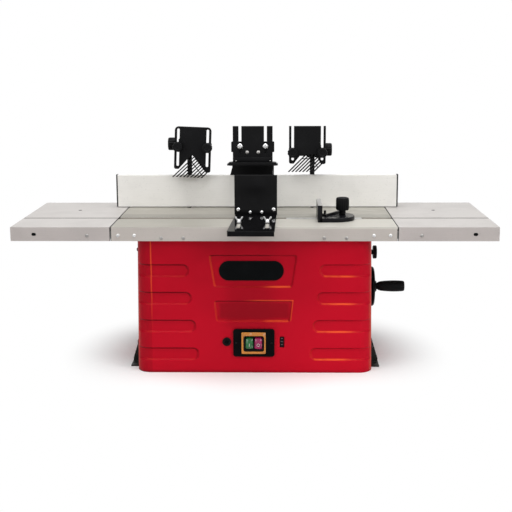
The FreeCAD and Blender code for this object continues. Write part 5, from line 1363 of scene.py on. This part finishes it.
def wing_bolts():
    """Two wing bolts: a small hub with two arms that rise and spread, round at their tips."""
    for side, x in zip(("left", "right"), wing_xs):
        low, _, middle = span(side + "_wing_bolt")
        at = facing("+z", (x, middle.y, 0))
        hub = [(wing_hub_low + height, radius) for height, radius in wing_hub]
        meshes = [lathe(hub, at, 32), stud(wing_shank_radius, low.z, wing_hub_low, at)]
        for outward in (-1, 1):
            arm = [(x + outward * reach, wing_hub_low + height) for reach, height, radius in wing_arm]
            outline = soft_corners(arm, [radius for reach, height, radius in wing_arm], 5)
            meshes.append(plate([outline], wing_thickness, wing_rim, facing("-y", (0, middle.y, 0))))
        show(side + "_wing_screw", meshes, side + "_wing", "zinc_steel", [side + "_wing_bolt"])


# Mitre gauge

mitre_pivot = (156.0, -58.0)
mitre_radius = 45.5
mitre_base_height = 9.0
mitre_face_thickness = 10.0
mitre_face_length = 103.0
mitre_web_half = 8.0
mitre_neck = 22.0
mitre_neck_x = 150.0
mitre_arc = (-90.0, 69.0)
mitre_arc_steps = 32

# The curved slot as its arm from the pivot, half width, start and end, and the raised rim beside it
mitre_slot = (39.0, 3.7, -70.0, 6.0)
mitre_rim_ends = ((155.0, -92.0), (190.0, -36.0))
mitre_rim_width = 4.5
mitre_rim_height = 6.0
mitre_rim_rise = 1.6
mitre_boss_radius = 8.0
mitre_pin_radius = 2.8
mitre_pin_height = 8.0


def mitre_enamel(grey_from):
    """Glossy black paint that turns light grey, rougher and half metallic in patches along its upper edge.
    """
    finish = Finish("mitre_enamel", specular_ior_level=0.12)
    patch_noise = finish.noise(60.0, 4.0)
    grey_top = finish.along("Z").between(grey_from - 0.0004, grey_from) * patch_noise.between(0.2, 0.4)
    finish.feed("Base Color", finish.mix(grey_top, (0.006, 0.006, 0.0075), (0.42, 0.41, 0.40)))
    finish.feed("Roughness", 0.18 + patch_noise * 0.12 + grey_top * 0.2)
    finish.feed("Metallic", grey_top * 0.5)
    finish.bump(patch_noise, 0.08, 0.0002)
    return finish.home


def mitre_head():
    """The gauge's head: upright face, round base with a curved slot and a raised rim, and its pivot."""
    low, high = span("mitre_head")[:2]
    base_top = low.z + mitre_base_height
    inside = low.x + mitre_face_thickness / 2
    middle = (high.x - mitre_radius, low.y + mitre_radius)
    far = (low.x + mitre_face_thickness, low.y + mitre_face_length, high.z)
    face = soft_block(low, far, 0.9)
    start, end = (math.radians(angle) for angle in mitre_arc)
    edge = [(inside, low.y)] + arc(middle, mitre_radius, start, end, mitre_arc_steps)
    edge += [(mitre_neck_x, low.y + mitre_neck), (inside, low.y + mitre_neck)]
    radii = [0.5] + [0] * mitre_arc_steps + [1.5, 6.0, 0.5]
    base = plate([soft_corners(edge, radii, 8), arc_slot(mitre_pivot, *mitre_slot)], mitre_base_height, 1.0,
                 facing("+z", (0, 0, (base_top + low.z) / 2)))
    rim_at = facing("+z", (0, 0, base_top + mitre_rim_rise))
    rim = bridge(*mitre_rim_ends, mitre_rim_width, mitre_rim_height, rim_at)
    at = facing("+z", (*mitre_pivot, 0))
    boss = stud(mitre_boss_radius, low.z, base_top, at)
    pin = stud(mitre_pin_radius, base_top - 1.0, base_top + mitre_pin_height, at)
    web = soft_block((inside, mitre_pivot[1] - mitre_web_half, low.z),
                     (mitre_pivot[0], mitre_pivot[1] + mitre_web_half, base_top), 0.5)
    show("mitre_casting", [face, base, rim, boss, pin, web], "mitre_face", "black_gloss", ["mitre_head"],
         mitre_enamel((high.z - 0.3) * mm))


# Switch, buttons and dial: a key's form as shares of its height or width and of its depth

key_rise = ((0, 0.42), (0.05, 0.16), (0.14, 0.02), (0.32, 0), (0.55, 0.04), (0.8, 0.2), (0.95, 0.4),
            (1.0, 0.62))
key_edges = ((0.0, 0.34), (0.05, 0.12), (0.13, 0.0), (0.87, 0.0), (0.95, 0.12), (1.0, 0.34))
key_deepest = 0.9
key_gap = 2.5
mark_share = 0.36
mark_half = 3.4
mark_bar_half = 0.6
mark_ring_inner = 2.5
mark_sheet = 0.3
mark_rim = 0.05
frame_rim = 0.7
frame_trim_left = 0.6
frame_trim_right = 1.6
window_left, window_right, window_below, window_above = 4.2, 3.4, 5.0, 8.2
switch_screw_in = 6.5
dial_radius = 17.0
dial_profile = ((-4.0, 14.5), (-4.0, 15.6), (-3.2, dial_radius, 1), (3.2, dial_radius, 1), (4.0, 15.6),
                (4.0, 14.5))
dial_mark_count = 6
dial_mark_start = 150.0
dial_mark_pitch = 24.0


def rocker(low, high):
    """A switch key whose front bulges and leans back towards its upper end, with softened edges."""
    size = high - low
    points = []
    for share_z, sink_z in key_rise:
        for share_x, sink_x in key_edges:
            sink = min(key_deepest, sink_z + sink_x)
            points.append((low.x + size.x * share_x, low.y + size.y * sink, low.z + size.z * share_z))
    rows = len(key_rise)
    count = len(key_edges)
    faces = grid_faces(rows, count, False)
    rim = list(range(count))
    rim += [row * count + count - 1 for row in range(1, rows)]
    rim += [(rows - 1) * count + step for step in range(count - 2, -1, -1)]
    rim += [row * count for row in range(rows - 2, 0, -1)]
    start = len(points)
    points += [(points[number][0], high.y, points[number][2]) for number in rim]
    for number in range(len(rim)):
        after = (number + 1) % len(rim)
        faces.append((rim[after], rim[number], start + number, start + after))
    faces.append(tuple(range(start + len(rim) - 1, start - 1, -1)))
    return make_mesh(points, faces)


def switch():
    low, high, middle = span("switch_frame")
    plate_low, plate_high = span("switch_plate")[:2]
    left = low.x + frame_trim_left
    right = high.x - frame_trim_right
    outer = box_outline(left, right, low.z, high.z, 2.5)
    window = box_outline(left + window_left, right - window_right, low.z + window_below,
                         high.z - window_above, 5.0)
    frame_mesh = plate([outer, window], high.y - low.y, frame_rim, facing("-y", (0, middle.y, 0)))
    show("amber_frame", [frame_mesh], "machine", "amber_plastic", ["switch_frame"])
    screws = []
    for x in (plate_low.x + switch_screw_in, plate_high.x - switch_screw_in):
        screws.append(screw_head(2.2, 1.2, "cross", 0.5, facing("-y", (x, plate_low.y, middle.z))))
    show("switch_screws", screws, "machine", "black_paint")
    for body, slot in (("start", "green_plastic"), ("stop", "red_plastic")):
        node = body + "_button"
        low, high, middle = span(node)
        x = middle.x
        z = low.z + (high.z - low.z) * mark_share
        show(body + "_key", [rocker(low, high - Vector((0, 0, key_gap)))], body, slot, [node], sharp=1.2)
        if body == "start":
            sign = [box_outline(x - mark_bar_half, x + mark_bar_half, z - mark_half, z + mark_half, 0.4)]
        else:
            sign = [disc_outline(x, z, mark_half), disc_outline(x, z, mark_ring_inner)]
        mark = plate(sign, mark_sheet, mark_rim, facing("-y", (0, low.y, 0)))
        show(body + "_mark", [mark], body, slot, (), button_ink)


def reset():
    low, high, middle = span("reset_button")
    length = high.y - low.y
    profile = ((0, 5.0), (0.2, 5.2), (length - 0.8, 5.2), (length - 0.2, 4.7), (length, 4.0),
               (length - 0.3, 3.4), (length - 0.3, 0.2))
    cap = lathe(profile, facing("-y", (middle.x, high.y, middle.z)), 40)
    show("reset_cap", [cap], "reset", "black_plastic", ["reset_button"], deep_black)


def dial():
    middle = span("speed_dial")[2]
    at = facing("+x", middle)
    meshes = [lathe(dial_profile, at, 240, 40, 0.8), stud(2.0, -7.0, 7.0, at)]
    show("thumbwheel", meshes, "dial", "black_plastic", ["speed_dial"])
    marks = []
    for number in range(dial_mark_count):
        angle = math.radians(dial_mark_start + dial_mark_pitch * number)
        along = Vector((1, 0, 0))
        out = Vector((0, math.cos(angle), math.sin(angle)))
        turn = Matrix((along, out.cross(along), out)).transposed().to_4x4()
        place = Matrix.Translation((middle + out * dial_radius) * mm)
        marks.append(plate([box_outline(-2.2, 2.2, -0.5, 0.5, 0.3)], mark_sheet, mark_rim, place @ turn))
    show("thumbwheel_marks", marks, "dial", "black_plastic", (), dial_ink)


# Pieces whose CAD form is kept take a finish here

fence_cap = 3.5


def dress(name, finish):
    node = frame["nodes"][name]
    node.data.materials.clear()
    node.data.materials.append(finish)


def dress_kept_nodes():
    for name in frame["nodes"]:
        dress(name, finishes[slot_of[name]])
    for name, outer in (("left_fence_face", 0), ("right_fence_face", 1)):
        end = span(name)[outer].x
        cap = ((end - fence_cap) * mm, (end + fence_cap) * mm)
        dress(name, fence_aluminium(name + "_finish", cap))
    for name in ("main_table", "table_insert_ring", "mitre_track"):
        dress(name, main_aluminium(name + "_finish"))
    for name in ("badge_plate", "switch_plate"):
        dress(name, deep_black)
    dress("mounting_feet", foot_enamel)


# Stage, light and camera

floor_half = 12000.0


def pale_floor():
    """A pale floor that holds the object's shadow, and turns to plain white away from it."""
    finish = Finish("pale_floor", roughness=0.9, specular_ior_level=0.1)
    mottle = finish.noise(3.0, 2.0)
    finish.feed("Base Color", finish.mix(mottle, (0.90, 0.90, 0.90), (0.94, 0.94, 0.94)))
    finish.bump(mottle, 0.02, 0.0005)
    far = finish.node("ShaderNodeVectorMath", {"operation": "LENGTH"}, {0: finish.places()}, "Value")
    white = finish.node("ShaderNodeEmission", {}, {"Color": (1.0, 1.0, 1.0, 1.0)})
    plain = Value(finish, finish.shader.outputs[0])
    finish.blend(far.between(0.22, 0.46) * finish.backdrop_rays(), plain, white, "Material Output")
    corners = [(x * floor_half, y * floor_half, 0) for x, y in ((-1, -1), (1, -1), (1, 1), (-1, 1))]
    mesh = make_mesh(corners, [(0, 1, 2, 3)])
    mesh.materials.append(finish.home)
    floor = bpy.data.objects.new("floor", mesh)
    bpy.context.scene.collection.objects.link(floor)


def lamp(name, place, aim, size, power):
    light = bpy.data.lights.new(name, "AREA")
    light.shape = "DISK"
    light.size = size * mm
    light.energy = power
    thing = bpy.data.objects.new(name, light)
    thing.location = Vector(place) * mm
    thing.rotation_euler = (Vector(aim) - Vector(place)).to_track_quat("-Z", "Y").to_euler()
    bpy.context.scene.collection.objects.link(thing)


def studio():
    """Soft light from all round and more from above; the backdrop is plain white to look at."""
    world = bpy.data.worlds.new("studio")
    sky = Finish("studio", world, "Background", color=(1.0, 1.0, 1.0), strength=soft_light)
    white = sky.node("ShaderNodeBackground", {}, {"Color": (1.0, 1.0, 1.0, 1.0)})
    sky.blend(sky.backdrop_rays(), Value(sky, sky.shader.outputs[0]), white, "World Output")
    bpy.context.scene.world = world
    middle = (0, 0, 250.0)
    lamp("left", (-1500.0, -1500.0, 1400.0), middle, 1000.0, 10.0)
    lamp("right", (1600.0, -1400.0, 1400.0), middle, 1000.0, 16.0)
    lamp("top", (0, -350.0, 2300.0), middle, 1800.0, 40.0)


def photo_camera():
    yaw_cos = math.cos(camera_yaw)
    yaw_sin = math.sin(camera_yaw)
    level = math.cos(camera_pitch)
    ahead = Vector((-yaw_sin * level, yaw_cos * level, -math.sin(camera_pitch)))
    right = Vector((yaw_cos, yaw_sin, 0))
    up = right.cross(ahead)
    tilted_right = right * math.cos(camera_roll) + up * math.sin(camera_roll)
    tilted_up = up * math.cos(camera_roll) - right * math.sin(camera_roll)
    camera = bpy.data.cameras.new("camera")
    camera.sensor_width = sensor_mm
    camera.lens = focal_px / image_px * sensor_mm
    thing = bpy.data.objects.new("camera", camera)
    turn = Matrix((tilted_right, tilted_up, -ahead)).transposed().to_4x4()
    thing.matrix_world = Matrix.Translation(camera_place * mm) @ turn
    bpy.context.scene.collection.objects.link(thing)
    bpy.context.scene.camera = thing


dress_kept_nodes()
body_shell()
frame_screws()
skirt_plugs()
wall_screws()
clamp_knobs()
handwheel()
crank_grip()
posts()
combs()
pressure_unit()
guard()
wing_bolts()
mitre_head()
switch()
reset()
dial()
pale_floor()
studio()
photo_camera()
bpy.context.scene.view_settings.view_transform = "Standard"
